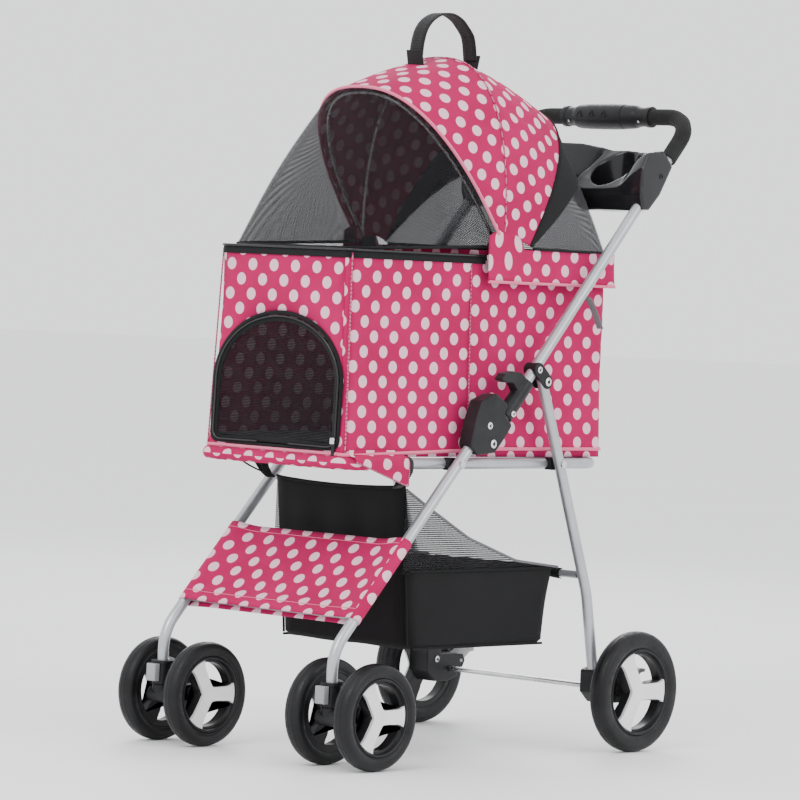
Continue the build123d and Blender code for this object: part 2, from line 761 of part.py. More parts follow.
split = fabric_split / 2
canopy_parts = {
    "front_mesh": ((front_rim, 0), (front_arch, split)),
    "roof_front": ((front_arch, -split), (main_arch, split)),
    "roof_rear": ((main_arch, -split), (rear_arch, split)),
    "canopy_rear": ((rear_arch, -split), (rear_rim, 0)),
}
for name, (first, last) in canopy_parts.items():
    with BuildPart() as canopy_cloth:
        loft(sections=[arch_band(*first), arch_band(*last)], ruled=True)
    write(canopy_cloth, name)

# Canopy bows: round rods that follow the arches inside the cloth, with an eye at each hinge pin.
bows = {
    "main_bow": (0, main_bow_half, main_bow_length),
    "front_bow": (front_bow_angle, front_bow_half, front_bow_length),
}
for name, (angle, half, length) in bows.items():
    with BuildPart() as bow:
        points = [arch_plane(angle).from_local_coords((x, y, 0)) for x, y in arch_points(half, length, arch_power)]
        with BuildLine() as route:
            Spline(*points)
        with BuildSketch(Plane(origin=route.line @ 0, z_dir=route.line % 0)):
            Circle(bow_d / 2)
        sweep()
        for side, sign in sides:
            with BuildSketch(side_plane(sign * half)):
                with Locations((hinge_reach, hinge_height)):
                    Circle(bow_eye_d / 2)
            extrude(amount=bow_d / 2, both=True)
        with BuildSketch(side_plane(0)):
            with Locations((hinge_reach, hinge_height)):
                Circle(hinge_pin_d / 2 + running)
        extrude(amount=canopy_half, both=True, mode=Mode.SUBTRACT)
    write(bow, name)

# Webbing carry strap: a flat band that arches over the roof from front to back.
strap_outer = [(292, 1007), (299, 1045), (326, 1068), (352, 1073), (384, 1066), (410, 1043), (418, 1007)]
strap_inner = [(298, 1007), (305, 1042), (329, 1064), (352, 1069), (381, 1062), (404, 1040), (412, 1007)]
with BuildPart() as carry_strap:
    with BuildSketch(side_plane(0)):
        with BuildLine():
            Spline(*strap_outer)
            Line(strap_outer[-1], strap_inner[-1])
            Spline(*strap_inner)
            Line(strap_inner[0], strap_outer[0])
        make_face()
    extrude(amount=strap_w / 2, both=True)
write(carry_strap, "carry_strap")

# ================= rear legs, axle, brakes and basket =================
leg_head = at(0, 415, 542)
leg_run = (at(0, *rear_leg_knee) - leg_head).normalized()
leg_end = leg_head - leg_run * tube_r
housing_half = (15.0, 23.0)
housing_profile = [(548, 118), (574, 126), (580, 112), (618, 112), (618, 76), (600, 70), (566, 70), (548, 86)]
pedal_pivot = (626.0, 100.0)
ear_t = 5.0
ear_profile = [(606, 112), (630, 110), (635, 100), (630, 90), (606, 86)]
for side, sign in sides:
    x = sign * side_x
    with BuildPart() as rear_leg:
        top = leg_end + Vector(x, 0, 0)
        with BuildLine() as route:
            FilletPolyline(top, at(x, *rear_leg_knee), at(x, *rear_leg_foot), radius=rear_leg_bend)
        with BuildSketch(Plane(origin=route.line @ 0, z_dir=route.line % 0)):
            Circle(tube_r)
            Circle(tube_bore_r, mode=Mode.SUBTRACT)
        sweep()
        with BuildSketch(side_plane(x)):
            with Locations((rear_pivot_reach, rail_height)):
                Circle(pin_r + running)
        extrude(amount=tube_d, both=True, mode=Mode.SUBTRACT)
    write(rear_leg, f"rear_leg_{side}")

    low, high = housing_half
    with BuildPart() as axle_housing:
        with BuildSketch(side_plane(x - sign * low)):
            Polygon(*housing_profile, align=None)
        extrude(amount=sign * (low + high))
        fillet(axle_housing.edges().filter_by(Axis.X), radius=3)
        with BuildSketch(side_plane(x + sign * high)):
            with Locations((rear_axle_reach, rear_axle_height)):
                Circle(11)
        extrude(amount=sign * (rear_wheel_x - wheel_w / 2 - 1 - side_x - high))
        for start in (-low, high - ear_t):
            with BuildSketch(side_plane(x + sign * start)):
                Polygon(*ear_profile, align=None)
            extrude(amount=sign * ear_t)
        with BuildSketch(side_plane(x)):
            with Locations(pedal_pivot):
                Circle(pin_r + running)
            with Locations((rear_axle_reach, rear_axle_height)):
                Circle(axle_d / 2)
        extrude(amount=50, both=True, mode=Mode.SUBTRACT)
        foot = at(x, *rear_leg_foot)
        knee = at(x, *rear_leg_knee)
        with BuildSketch(Plane(origin=foot, z_dir=(knee - foot).normalized())):
            Circle(tube_r)
        extrude(amount=60, mode=Mode.SUBTRACT)
    write(axle_housing, f"axle_housing_{side}")

    with BuildPart() as brake_pedal:
        eye_from = -low + ear_t + slide_gap
        eye_to = high - ear_t - slide_gap
        with BuildSketch(side_plane(x + sign * eye_from)):
            with Locations(pedal_pivot):
                Circle(pin_r + 3)
            Polygon((628, 106), (650, 119), (661, 118), (660, 113), (651, 112), (631, 97), align=None)
        extrude(amount=sign * (eye_to - eye_from))
        with BuildSketch(side_plane(x - sign * low)):
            with Locations(pedal_pivot):
                Circle(pin_r)
        extrude(amount=sign * (low + high))
    write(brake_pedal, f"brake_pedal_{side}")

with BuildPart() as basket_cross_bar:
    with BuildSketch(side_plane(-leg_inner)):
        with Locations(basket_bar):
            Circle(basket_bar_d / 2)
            Circle(basket_bar_d / 2 - tube_wall, mode=Mode.SUBTRACT)
    extrude(amount=2 * leg_inner)
write(basket_cross_bar, "basket_bar")

with BuildPart() as rear_axle:
    with BuildSketch(side_plane(0)):
        with Locations((rear_axle_reach, rear_axle_height)):
            Circle(axle_d / 2)
    extrude(amount=rear_wheel_x + wheel_w / 4, both=True)
write(rear_axle, "rear_axle")

basket_floor = [(170, 388), (195, 168), (210, 154), (490, 152), (500, 160), (516, 268)]
with BuildPart() as basket:
    with BuildSketch(side_plane(0)):
        with BuildLine():
            Polyline(*basket_floor)
            Spline(basket_floor[-1], (420, 279), (315, 313), (230, 356), basket_floor[0])
        make_face()
    extrude(amount=basket_half, both=True)
    with BuildSketch(side_plane(0)):
        Polygon((160, 500), (173.5, 386), (198, 170), (212, 157), (488, 155), (497, 162), (530, 400), align=None)
    extrude(amount=basket_half - cloth, both=True, mode=Mode.SUBTRACT)
write(basket, "basket")
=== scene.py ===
import json
from bisect import bisect_right
from math import atan2, cos, hypot, pi, radians, sin

import bmesh
import bpy
from mathutils import Matrix, Vector


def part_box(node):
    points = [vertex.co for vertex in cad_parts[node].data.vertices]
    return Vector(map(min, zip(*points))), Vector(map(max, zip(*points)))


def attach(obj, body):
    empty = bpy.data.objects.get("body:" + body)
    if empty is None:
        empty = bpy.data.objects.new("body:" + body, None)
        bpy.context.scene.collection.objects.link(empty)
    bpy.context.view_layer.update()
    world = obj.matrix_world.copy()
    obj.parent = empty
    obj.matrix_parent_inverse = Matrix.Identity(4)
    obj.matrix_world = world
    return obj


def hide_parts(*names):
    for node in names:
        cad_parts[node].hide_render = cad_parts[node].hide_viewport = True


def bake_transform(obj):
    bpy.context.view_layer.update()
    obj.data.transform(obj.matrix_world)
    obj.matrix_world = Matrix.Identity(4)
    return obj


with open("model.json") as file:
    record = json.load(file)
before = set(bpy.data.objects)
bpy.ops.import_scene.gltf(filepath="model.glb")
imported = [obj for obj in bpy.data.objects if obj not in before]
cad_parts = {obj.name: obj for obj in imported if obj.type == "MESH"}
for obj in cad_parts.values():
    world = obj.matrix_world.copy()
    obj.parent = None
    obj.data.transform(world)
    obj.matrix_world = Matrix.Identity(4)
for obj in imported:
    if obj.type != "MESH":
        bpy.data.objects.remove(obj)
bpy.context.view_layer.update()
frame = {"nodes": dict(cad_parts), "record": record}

MM = 0.001
low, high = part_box("castor_socket_left")
stem_y = (low.y + high.y) / 2
side_x = (low.x + high.x) / 2 / MM
across = Vector((1, 0, 0))
sides = (("left", 1), ("right", -1))


def at(x, reach, height):
    """A point from its side position, its reach behind the castor stem and its height, in millimetres."""
    return Vector((x * MM, stem_y + reach * MM, height * MM))


# ================= camera =================
azimuth, elevation, roll = radians(42.59), radians(1.679), radians(2.585)
back = Vector((sin(azimuth) * cos(elevation), -cos(azimuth) * cos(elevation), sin(elevation)))
level = Vector((cos(azimuth), sin(azimuth), 0))
rise = back.cross(level)
right_edge = level * cos(roll) + rise * sin(roll)
top_edge = rise * cos(roll) - level * sin(roll)
camera_data = bpy.data.cameras.new("camera")
camera_data.lens = 198.55
camera_data.sensor_width = 36
camera_data.clip_end = 40
camera = bpy.data.objects.new("camera", camera_data)
camera.matrix_world = Matrix.Translation(at(4338.905, -4425.266, 693.231)) @ Matrix(
    (right_edge, top_edge, back)
).transposed().to_4x4()
bpy.context.collection.objects.link(camera)
bpy.context.scene.camera = camera


# ================= materials =================
def wire(tree, out, into):
    """Join two sockets."""
    tree.links.new(out, into)


def add_node(tree, kind, **settings):
    """A new shader node, with its settings or its inputs given by name."""
    made = tree.nodes.new(kind)
    for key, value in settings.items():
        if hasattr(made, key):
            setattr(made, key, value)
        else:
            made.inputs[key.replace("_", " ")].default_value = value
    return made


def math_node(tree, operation, *values):
    made = tree.nodes.new("ShaderNodeMath")
    made.operation = operation
    for index, value in enumerate(values):
        if isinstance(value, (int, float)):
            made.inputs[index].default_value = value
        else:
            wire(tree, value, made.inputs[index])
    return made.outputs[0]


def vector_node(tree, operation, *values):
    made = tree.nodes.new("ShaderNodeVectorMath")
    made.operation = operation
    for index, value in enumerate(values):
        if isinstance(value, tuple):
            made.inputs[index].default_value = value
        else:
            wire(tree, value, made.inputs[index])
    return made.outputs["Value" if operation == "LENGTH" else "Vector"]


def ramp(tree, value, low_in, high_in, low_out, high_out):
    """A value carried smoothly from one range to another."""
    made = add_node(tree, "ShaderNodeMapRange", interpolation_type="SMOOTHSTEP")
    for name, number in (("From Min", low_in), ("From Max", high_in), ("To Min", low_out),
                         ("To Max", high_out)):
        made.inputs[name].default_value = number
    wire(tree, value, made.inputs["Value"])
    return made.outputs["Result"]


def blend_colours(tree, share, first, second):
    made = add_node(tree, "ShaderNodeMix", data_type="RGBA")
    wire(tree, share, made.inputs["Factor"])
    for index, value in ((6, first), (7, second)):
        if isinstance(value, tuple):
            made.inputs[index].default_value = (*value, 1)
        else:
            wire(tree, value, made.inputs[index])
    return made.outputs[2]


def noise(tree, place, scale, detail=3.0):
    made = add_node(tree, "ShaderNodeTexNoise", Scale=scale, Detail=detail)
    wire(tree, place, made.inputs["Vector"])
    return made.outputs["Fac"]


def bump(tree, shader, height, distance, strength=1.0):
    made = add_node(tree, "ShaderNodeBump", Strength=strength, Distance=distance)
    wire(tree, height, made.inputs["Height"])
    wire(tree, made.outputs["Normal"], shader.inputs["Normal"])


def start_material(name, **numbers):
    made = bpy.data.materials.new(name)
    made.use_nodes = True
    tree = made.node_tree
    shader = tree.nodes["Principled BSDF"]
    for key, value in numbers.items():
        shader.inputs[key.replace("_", " ")].default_value = value
    return made, tree, shader


def moulded(name, dark, light, rough, grain, depth, **numbers):
    """A plastic, rubber or painted finish: drifting tone, drifting gloss and a fine skin texture."""
    made, tree, shader = start_material(name, **numbers)
    place = add_node(tree, "ShaderNodeTexCoord").outputs["Object"]
    tone = noise(tree, place, 22.0, 4.0)
    wire(tree, blend_colours(tree, ramp(tree, tone, 0.3, 0.7, 0.0, 1.0), dark, light),
         shader.inputs["Base Color"])
    scuff = noise(tree, place, 160.0, 6.0)
    wire(tree, ramp(tree, scuff, 0.35, 0.75, rough[0], rough[1]), shader.inputs["Roughness"])
    bump(tree, shader, noise(tree, place, grain, 2.0), depth)
    return made


def thread_height(tree, place, pitch):
    """Over and under threads of a plain weave."""
    band_scale = 2 * pi / (20 * pitch)
    warp = add_node(tree, "ShaderNodeTexWave", bands_direction="X", Scale=band_scale)
    weft = add_node(tree, "ShaderNodeTexWave", bands_direction="Y", Scale=band_scale)
    wire(tree, place, warp.inputs["Vector"])
    wire(tree, place, weft.inputs["Vector"])
    return math_node(tree, "MULTIPLY", warp.outputs["Fac"], weft.outputs["Fac"])


def woven(name, dark, light, pitch, depth, rough=0.85, sheen=0.3):
    """Plain woven cloth that follows the piece's own cut."""
    made, tree, shader = start_material(name, Roughness=rough, Sheen_Weight=sheen, Sheen_Roughness=0.5,
                                        Specular_IOR_Level=0.2)
    place = add_node(tree, "ShaderNodeTexCoord").outputs["UV"]
    weave = thread_height(tree, place, pitch)
    drift = noise(tree, place, 14.0, 4.0)
    share = math_node(tree, "ADD", math_node(tree, "MULTIPLY", weave, 0.5),
                      math_node(tree, "MULTIPLY", drift, 0.5))
    wire(tree, blend_colours(tree, share, dark, light), shader.inputs["Base Color"])
    bump(tree, shader, weave, depth)
    return made


def dotted(name):
    """Pink woven cloth printed with staggered pale dots."""
    spacing, dot_r, grey_r = 0.042, 0.205, 0.115
    made, tree, shader = start_material(name, Roughness=0.82, Sheen_Weight=0.03, Specular_IOR_Level=0.2)
    place = add_node(tree, "ShaderNodeTexCoord").outputs["UV"]
    grid = vector_node(tree, "MULTIPLY", place, (1 / spacing, 1 / spacing, 0.0))
    gaps = []
    for shift in ((0.0, 0.0, 0.0), (0.5, 0.5, 0.0)):
        cell = vector_node(tree, "FRACTION", vector_node(tree, "ADD", grid, shift))
        gaps.append(vector_node(tree, "LENGTH", vector_node(tree, "SUBTRACT", cell, (0.5, 0.5, 0.0))))
    nearest = math_node(tree, "MINIMUM", *gaps)
    weave = thread_height(tree, place, 0.0011)
    drift = noise(tree, place, 9.0, 5.0)
    ground = blend_colours(tree, ramp(tree, drift, 0.3, 0.7, 0.0, 1.0), (0.40, 0.000, 0.072),
                           (0.48, 0.001, 0.094))
    ground = blend_colours(tree, math_node(tree, "MULTIPLY", weave, 0.16), ground, (0.60, 0.02, 0.17))
    spot = blend_colours(tree, ramp(tree, nearest, grey_r - 0.05, grey_r + 0.03, 0.0, 1.0),
                         (0.78, 0.55, 0.61), (0.90, 0.50, 0.62))
    edge = ramp(tree, nearest, dot_r - 0.008, dot_r + 0.008, 1.0, 0.0)
    wire(tree, blend_colours(tree, edge, ground, spot), shader.inputs["Base Color"])
    bump(tree, shader, weave, 0.0004)
    return made


def netting(name, thread, pitch, hole, yarn_alpha, sheen=0.03):
    """See-through knitted mesh: solid yarn round small holes."""
    made, tree, shader = start_material(name, Roughness=0.8, Sheen_Weight=sheen, Specular_IOR_Level=0.15)
    place = add_node(tree, "ShaderNodeTexCoord").outputs["UV"]
    weave = thread_height(tree, place, pitch)
    drift = noise(tree, place, 6.0, 3.0)
    wire(tree, blend_colours(tree, drift, thread, tuple(c * 1.8 for c in thread)),
         shader.inputs["Base Color"])
    wire(tree, ramp(tree, weave, 0.10, 0.45, hole, yarn_alpha), shader.inputs["Alpha"])
    bump(tree, shader, weave, 0.0003)
    return made


pink = dotted("pink_dotted_cloth")
piping_pink = woven("light_pink_binding", (0.78, 0.11, 0.24), (0.86, 0.20, 0.34), 0.0009, 0.0002)
black_cloth = woven("black_cloth", (0.003, 0.003, 0.0035), (0.011, 0.011, 0.012), 0.0012, 0.0004, sheen=0.04)
grey_binding = woven("grey_binding", (0.10, 0.10, 0.105), (0.20, 0.20, 0.21), 0.0009, 0.0002)
webbing = woven("black_webbing", (0.006, 0.006, 0.006), (0.028, 0.028, 0.030), 0.0024, 0.0008, sheen=0.1)
mat_cloth = woven("mat_cloth", (0.018, 0.018, 0.020), (0.050, 0.050, 0.055), 0.0016, 0.0006)
black_net = netting("black_net", (0.006, 0.006, 0.007), 0.0022, 0.25, 0.84)
grey_net = netting("grey_net", (0.030, 0.030, 0.033), 0.0026, 0.25, 0.88)
basket_net = netting("basket_net", (0.012, 0.012, 0.013), 0.0030, 0.30, 0.95)
silver = moulded("silver_paint", (0.40, 0.41, 0.43), (0.47, 0.48, 0.50), (0.32, 0.40), 900, 0.000006,
                 Metallic=0.7)
bright = moulded("zinc_plate", (0.60, 0.60, 0.61), (0.76, 0.76, 0.77), (0.20, 0.34), 700,
                 0.00005, Metallic=1.0)
black_plastic = moulded("black_plastic", (0.008, 0.008, 0.009), (0.015, 0.015, 0.016), (0.34, 0.48), 1300,
                        0.00012, Specular_IOR_Level=0.22)
gloss_plastic = moulded("gloss_plastic", (0.007, 0.007, 0.008), (0.012, 0.012, 0.013), (0.14, 0.24), 1300,
                        0.00004, Coat_Weight=0.25, Coat_Roughness=0.08, Specular_IOR_Level=0.25)
grey_plastic = moulded("grey_plastic", (0.24, 0.24, 0.25), (0.31, 0.31, 0.32), (0.36, 0.48), 1200, 0.0001)
rim_plastic = moulded("rim_plastic", (0.008, 0.008, 0.009), (0.015, 0.015, 0.016), (0.28, 0.42), 1100,
                      0.00010, Specular_IOR_Level=0.22)
white_plastic = moulded("white_plastic", (0.70, 0.70, 0.69), (0.80, 0.80, 0.79), (0.28, 0.38), 1100, 0.00006,
                        Coat_Weight=0.2, Coat_Roughness=0.2)
tyre_rubber = moulded("tyre_rubber", (0.006, 0.006, 0.0065), (0.012, 0.012, 0.013), (0.34, 0.56), 500, 0.0002,
                      Specular_IOR_Level=0.22)
foam = moulded("grip_foam", (0.012, 0.012, 0.012), (0.022, 0.022, 0.022), (0.80, 0.92), 1500, 0.0007,
               Sheen_Weight=0.03, Specular_IOR_Level=0.15)

finishes = {"steel_tube": silver, "bright_steel": bright, "black_plastic": black_plastic,
            "grey_plastic": grey_plastic, "rim_plastic": rim_plastic, "tyre": tyre_rubber, "foam": foam,
            "pink_cloth": pink, "black_cloth": black_cloth, "black_mesh": black_net, "webbing": webbing,
            "board": black_plastic, "mat_cloth": mat_cloth}
slot_of_look = {made.name: slot for slot, made in finishes.items() if slot != "board"}
for made, slot in ((piping_pink, "pink_cloth"), (grey_binding, "black_cloth"),
                   (grey_net, "black_mesh"), (basket_net, "black_mesh"), (gloss_plastic, "black_plastic"),
                   (white_plastic, "rim_plastic")):
    slot_of_look[made.name] = slot
slot_of = {row["node"]: row["material_slot"] for row in frame["record"]["subparts"]}
for name in frame["nodes"]:
    cad_object = bpy.data.objects[name]
    if not cad_object.material_slots:
        cad_object.data.materials.append(finishes[slot_of[name]])
    for material_slot in cad_object.material_slots:
        material_slot.material = finishes[slot_of[name]]


# ================= helpers =================
def dress(name, mesh, material, body, replaces):
    """Give a mesh its material and slot, and let it ride on a body and stand for CAD nodes."""
    mesh.materials.append(material)
    for face in mesh.polygons:
        face.use_smooth = True
    piece = bpy.data.objects.new(name, mesh)
    bpy.context.collection.objects.link(piece)
    if body:
        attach(piece, body)
    if replaces:
        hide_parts(*replaces)
    return piece


def keep(name, shape, material, body, sharp=35, replaces=()):
    """Turn a bmesh into a piece that rides on a body."""
    mesh = bpy.data.meshes.new(name)
    shape.to_mesh(mesh)
    shape.free()
    piece = dress(name, mesh, material, body, replaces)
    mesh.set_sharp_from_angle(angle=radians(sharp))
    return piece


def wall(piece, thickness, offset=-1.0):
    """Give a sheet its thickness, in millimetres."""
    made = piece.modifiers.new("wall", "SOLIDIFY")
    made.thickness = thickness * MM
    made.offset = offset
    made.use_even_offset = False
    return piece


def round_edges(piece, width, segments=3):
    """Round a piece's sharp edges."""
    made = piece.modifiers.new("round", "BEVEL")
    made.width = width * MM
    made.segments = segments
    made.limit_method = "ANGLE"
    made.angle_limit = radians(40)
    return piece


def cloth(name, place, cut, steps, material, body, inside, replaces=(), thickness=1.4, closed=False):
    """A cloth shell: a grid laid out by place(s, t), with its flat cut as its UV map, in metres."""
    shape = bmesh.new()
    bmesh.ops.create_grid(shape, x_segments=steps[0], y_segments=steps[1], size=1.0)
    uv = shape.loops.layers.uv.new("cut")
    shares = {v: ((v.co.x + 1) / 2, (v.co.y + 1) / 2) for v in shape.verts}
    for face in shape.faces:
        for loop in face.loops:
            loop[uv].uv = cut(*shares[loop.vert])
    for vert, (s, t) in shares.items():
        vert.co = place(s, t)
    if closed:
        bmesh.ops.remove_doubles(shape, verts=shape.verts[:], dist=1e-6)
    shape.normal_update()
    facing = sum((f.normal.dot(f.calc_center_median() - inside) * f.calc_area() for f in shape.faces))
    if facing < 0:
        bmesh.ops.reverse_faces(shape, faces=shape.faces[:])
    piece = keep(name, shape, material, body, 60, replaces)
    return wall(piece, thickness)


def flat_cut(place):
    """A flat cut that is the piece's own front view."""
    def cut(s, t):
        point = place(s, t)
        return (point.x, point.z)
    return cut


def declare(piece):
    """Return the piece unchanged."""
    return piece


def tube(name, points, radius, material, body, cyclic=False, resolution=6, replaces=()):
    """A round cord or seam that follows points, as a mesh."""
    line = bpy.data.curves.new(name, "CURVE")
    line.dimensions = "3D"
    line.bevel_depth = radius * MM
    line.bevel_resolution = 3
    line.use_fill_caps = True
    spline = line.splines.new("NURBS")
    spline.points.add(len(points) - 1)
    for point, place in zip(spline.points, points):
        point.co = (*place, 1)
    spline.use_cyclic_u = cyclic
    spline.order_u = 3
    spline.use_endpoint_u = True
    spline.resolution_u = resolution
    holder = bpy.data.objects.new(name + "_line", line)
    bpy.context.collection.objects.link(holder)
    bpy.context.view_layer.update()
    mesh = bpy.data.meshes.new_from_object(holder.evaluated_get(bpy.context.evaluated_depsgraph_get()))
    bpy.data.objects.remove(holder)
    mesh.name = name
    mesh.materials.clear()
    return dress(name, mesh, material, body, replaces)


def eased(p0, p1, p2, p3, t):
    """A value on the smooth curve from p1 to p2, with p0 before them and p3 after."""
    return 0.5 * (2 * p1 + (p2 - p0) * t + (2 * p0 - 5 * p1 + 4 * p2 - p3) * t * t
                  + (3 * p1 - p0 - 3 * p2 + p3) * t ** 3)


def round_walk(corners, radius, share):
    """A point at a share of a line with rounded corners, as (x, reach), and the way out of the line there."""
    corners = [complex(*corner) for corner in corners]
    ways = [(b - a) / abs(b - a) for a, b in zip(corners, corners[1:])]
    last = len(ways) - 1
    left = share * (sum(abs(b - a) for a, b in zip(corners, corners[1:])) + (pi / 2 - 2) * radius * last)
    for index, way in enumerate(ways):
        start = corners[index] + (way * radius if index else 0)
        length = abs(corners[index + 1] - start) - radius * (index < last)
        if left <= length or index == last:
            out = ways[index - 1] if index == last else -ways[index + 1]
            spot = start + way * left
            break
        left -= length
        if left <= pi * radius / 2:
            out = way * sin(left / radius) - ways[index + 1] * cos(left / radius)
            spot = corners[index + 1] + (ways[index + 1] - way + out) * radius
            break
        left -= pi * radius / 2
    return spot.real, spot.imag, out.real, out.imag


def turned(name, outline, centre, axis, material, body, steps=64, replaces=(), sharp=35):
    """A turned shape: the outline's (along, radius) points spun about an axis."""
    shape = bmesh.new()
    axis = Vector(axis).normalized()
    reference = Vector((0, 0, 1)) if abs(axis.z) < 0.9 else Vector((0, 1, 0))
    verts = [shape.verts.new(centre + axis * a * MM + reference * r * MM) for a, r in outline]
    edges = [shape.edges.new(pair) for pair in zip(verts, verts[1:])]
    bmesh.ops.spin(shape, geom=verts + edges, cent=centre, axis=axis, angle=2 * pi, steps=steps,
                   use_merge=True)
    bmesh.ops.remove_doubles(shape, verts=shape.verts[:], dist=1e-6)
    bmesh.ops.recalc_face_normals(shape, faces=shape.faces[:])
    return keep(name, shape, material, body, sharp, replaces)


# ================= canopy =================
# Each arch of the cloth: foot reach and height, apex reach and height, half width, power of its curve.
front_rim = (323.0, 733.0, 45.3, 721.4, 129.0, 8.0)
front_arch = (331.6, 751.5, 177.0, 953.0, 144.0, 2.5)
main_arch = (345.0, 756.0, 345.0, 1006.0, 144.0, 2.5)
rear_arch = (402.0, 737.0, 526.0, 940.0, 144.0, 2.5)
rear_rim = (410.0, 733.0, 600.0, 731.8, 144.0, 8.0)
arch_samples = 480
rear_belly = 4.0
canopy_middle = at(0, 345, 775)
arch_runs = {}


def arch_spot(station, turn, grow):
    """A point on an arch at a turn of its rounded curve, and a little outside it by grow."""
    foot_reach, foot_height, apex_reach, apex_height, half, power = station
    run, lift = apex_reach - foot_reach, apex_height - foot_height
    length = hypot(run, lift)
    side = cos(turn)
    bulge = abs(side) ** (2 / power) * (1 if side >= 0 else -1)
    climb = (1 + grow / length) * max(sin(turn), 0.0) ** (2 / power)
    return at((half + grow) * bulge, foot_reach + run * climb, foot_height + lift * climb)


def arch_point(station, share, grow=0.0):
    """A point on an arch, at a share of its length from the left foot over the apex to the right foot."""
    if (station, grow) not in arch_runs:
        turns = [pi * (0.5 - 0.5 * cos(pi * i / arch_samples)) for i in range(arch_samples + 1)]
        spots = [arch_spot(station, turn, grow) for turn in turns]
        lengths = [0.0]
        for before, after in zip(spots, spots[1:]):
            lengths.append(lengths[-1] + (after - before).length)
        arch_runs[(station, grow)] = (spots, lengths)
    spots, lengths = arch_runs[(station, grow)]
    wanted = min(max(share, 0.0), 1.0) * lengths[-1]
    index = min(max(bisect_right(lengths, wanted) - 1, 0), arch_samples - 1)
    step = lengths[index + 1] - lengths[index]
    return spots[index].lerp(spots[index + 1], (wanted - lengths[index]) / step if step else 0.0)


def arch_length(station):
    """The arch's whole length, which arch_point measures on its first call."""
    arch_point(station, 0.5)
    return arch_runs[(station, 0.0)][1][-1]


def arch_cloth(name, first, last, steps, material, body, replaces, puff, middle, belly=0.0):
    """Cloth stretched between two arches: puff(s, t) pushes it out, belly lets its middle hang further."""
    def place(s, t):
        point = arch_point(first, s).lerp(arch_point(last, s), t)
        out = (point - canopy_middle).normalized()
        return point + out * (puff(s, t) * sin(pi * t) + belly * sin(pi * t) * sin(pi * s)) * MM

    def cut(s, t):
        width = (arch_point(last, s) - arch_point(first, s)).length
        return ((s - 0.5) * arch_length(main_arch), middle + (t - 0.5) * width)

    return cloth(name, place, cut, steps, material, body, canopy_middle, replaces)


def gathered(s, t):
    """Radial gathers behind the main arch, with a fuller crown."""
    crown = sin(pi * s)
    pleat = sin(s * 46 * pi) * 1.1 + sin(s * 31 * pi + 1.0) * 1.0 + sin(s * 17 * pi + t * 3) * 0.8
    return 4.0 * crown + pleat * (0.3 + 0.7 * crown) * (1.2 - t)


def soft_swell(s, t):
    """A fuller crown with a few soft folds."""
    return 3.0 * sin(pi * s) + 0.7 * sin(s * 19 * pi + 2 * t)


def taut(s, t):
    """A net's slight fullness over the crown."""
    return 1.5 * sin(pi * s)


roof_rear = arch_cloth("roof_rear_cloth", main_arch, rear_arch, (160, 24), pink, None, ("roof_rear",),
                       gathered, 0.10)
roof_front = arch_cloth("roof_front_cloth", front_arch, main_arch, (160, 22), pink, None,
                        ("roof_front",), soft_swell, -0.09)
front_net = arch_cloth("front_net", front_rim, front_arch, (160, 30), black_net, "front_bow",
                       ("front_mesh",), taut, -0.3, 7.0)
rear_net = arch_cloth("rear_net", rear_arch, rear_rim, (160, 24), grey_net, "carriage",
                      ("canopy_rear",), taut, 0.3, rear_belly)
main_apex = arch_point(main_arch, 0.5)
arch_point(rear_arch, 0.5)
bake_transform(roof_rear)
arch_point(front_arch, 0.5)
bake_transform(roof_front)
declare(roof_rear)
declare(roof_front)
declare(front_net)
declare(rear_net)


def net_band(name, first, last, share_from, share_to, material, body, proud):
    """An opaque band of cloth along one edge of a net panel."""
    def place(s, t):
        share = share_from + (share_to - share_from) * t
        point = arch_point(first, s).lerp(arch_point(last, s), share)
        out = (point - canopy_middle).normalized()
        fullness = (taut(s, share) + rear_belly * sin(pi * s)) * sin(pi * share)
        return point + out * (fullness + proud) * MM

    def cut(s, t):
        width = (arch_point(last, s) - arch_point(first, s)).length
        return ((s - 0.5) * arch_length(main_arch), (share_from + (share_to - share_from) * t) * width)

    return cloth(name, place, cut, (160, 8), material, body, canopy_middle, thickness=1.0)


net_band("rear_net_band", rear_arch, rear_rim, 0.0, 0.34, black_cloth, "carriage", 1.2)


def arch_line(station, grow, count=61):
    return [arch_point(station, i / (count - 1), grow) for i in range(count)]


tube("front_arch_binding", arch_line(front_arch, 0.8), 2.4, piping_pink, "front_bow")
tube("main_arch_seam", arch_line(main_arch, 0.5), 1.0, pink, "main_bow")
tube("rear_arch_seam", arch_line(rear_arch, 0.4), 1.6, black_cloth, "carriage")
tube("rear_rim_edge", arch_line(rear_rim, 0.2), 2.2, black_cloth, "carriage")
tube("front_rim_tape", arch_line(front_rim, 0.0), 2.4, black_cloth, "front_bow")

# ================= cabin =================
cabin_low, cabin_high = 431.0, 720.0
cabin_levels = ((cabin_low, 139.0, 36.0, 592.0), (cabin_high, 130.0, 43.0, 596.0))
corner_r = 14.0


def cabin_size(height):
    """The cabin's half width, front reach and rear reach at a height."""
    (z0, *bottom), (z1, *top) = cabin_levels
    share = (height - z0) / (z1 - z0)
    return [a + (b - a) * share for a, b in zip(bottom, top)]


def cabin_edge(height, share, inset=0.0):
    """(x, reach) on the cabin's plan, going round from the front left corner over the back."""
    half, front, rear = cabin_size(height)
    half, front, rear = half - inset, front + inset, rear - inset
    return round_walk(((half - corner_r, front), (half, front), (half, rear), (-half, rear), (-half, front),
                       (-half + corner_r, front)), corner_r, share)[:2]


half, front, rear = cabin_size(575)
wall_run = 2 * (rear - front - 2 * corner_r) + 2 * half - 2 * corner_r + 2 * pi * corner_r
cabin_inside = at(0, 315, 575)


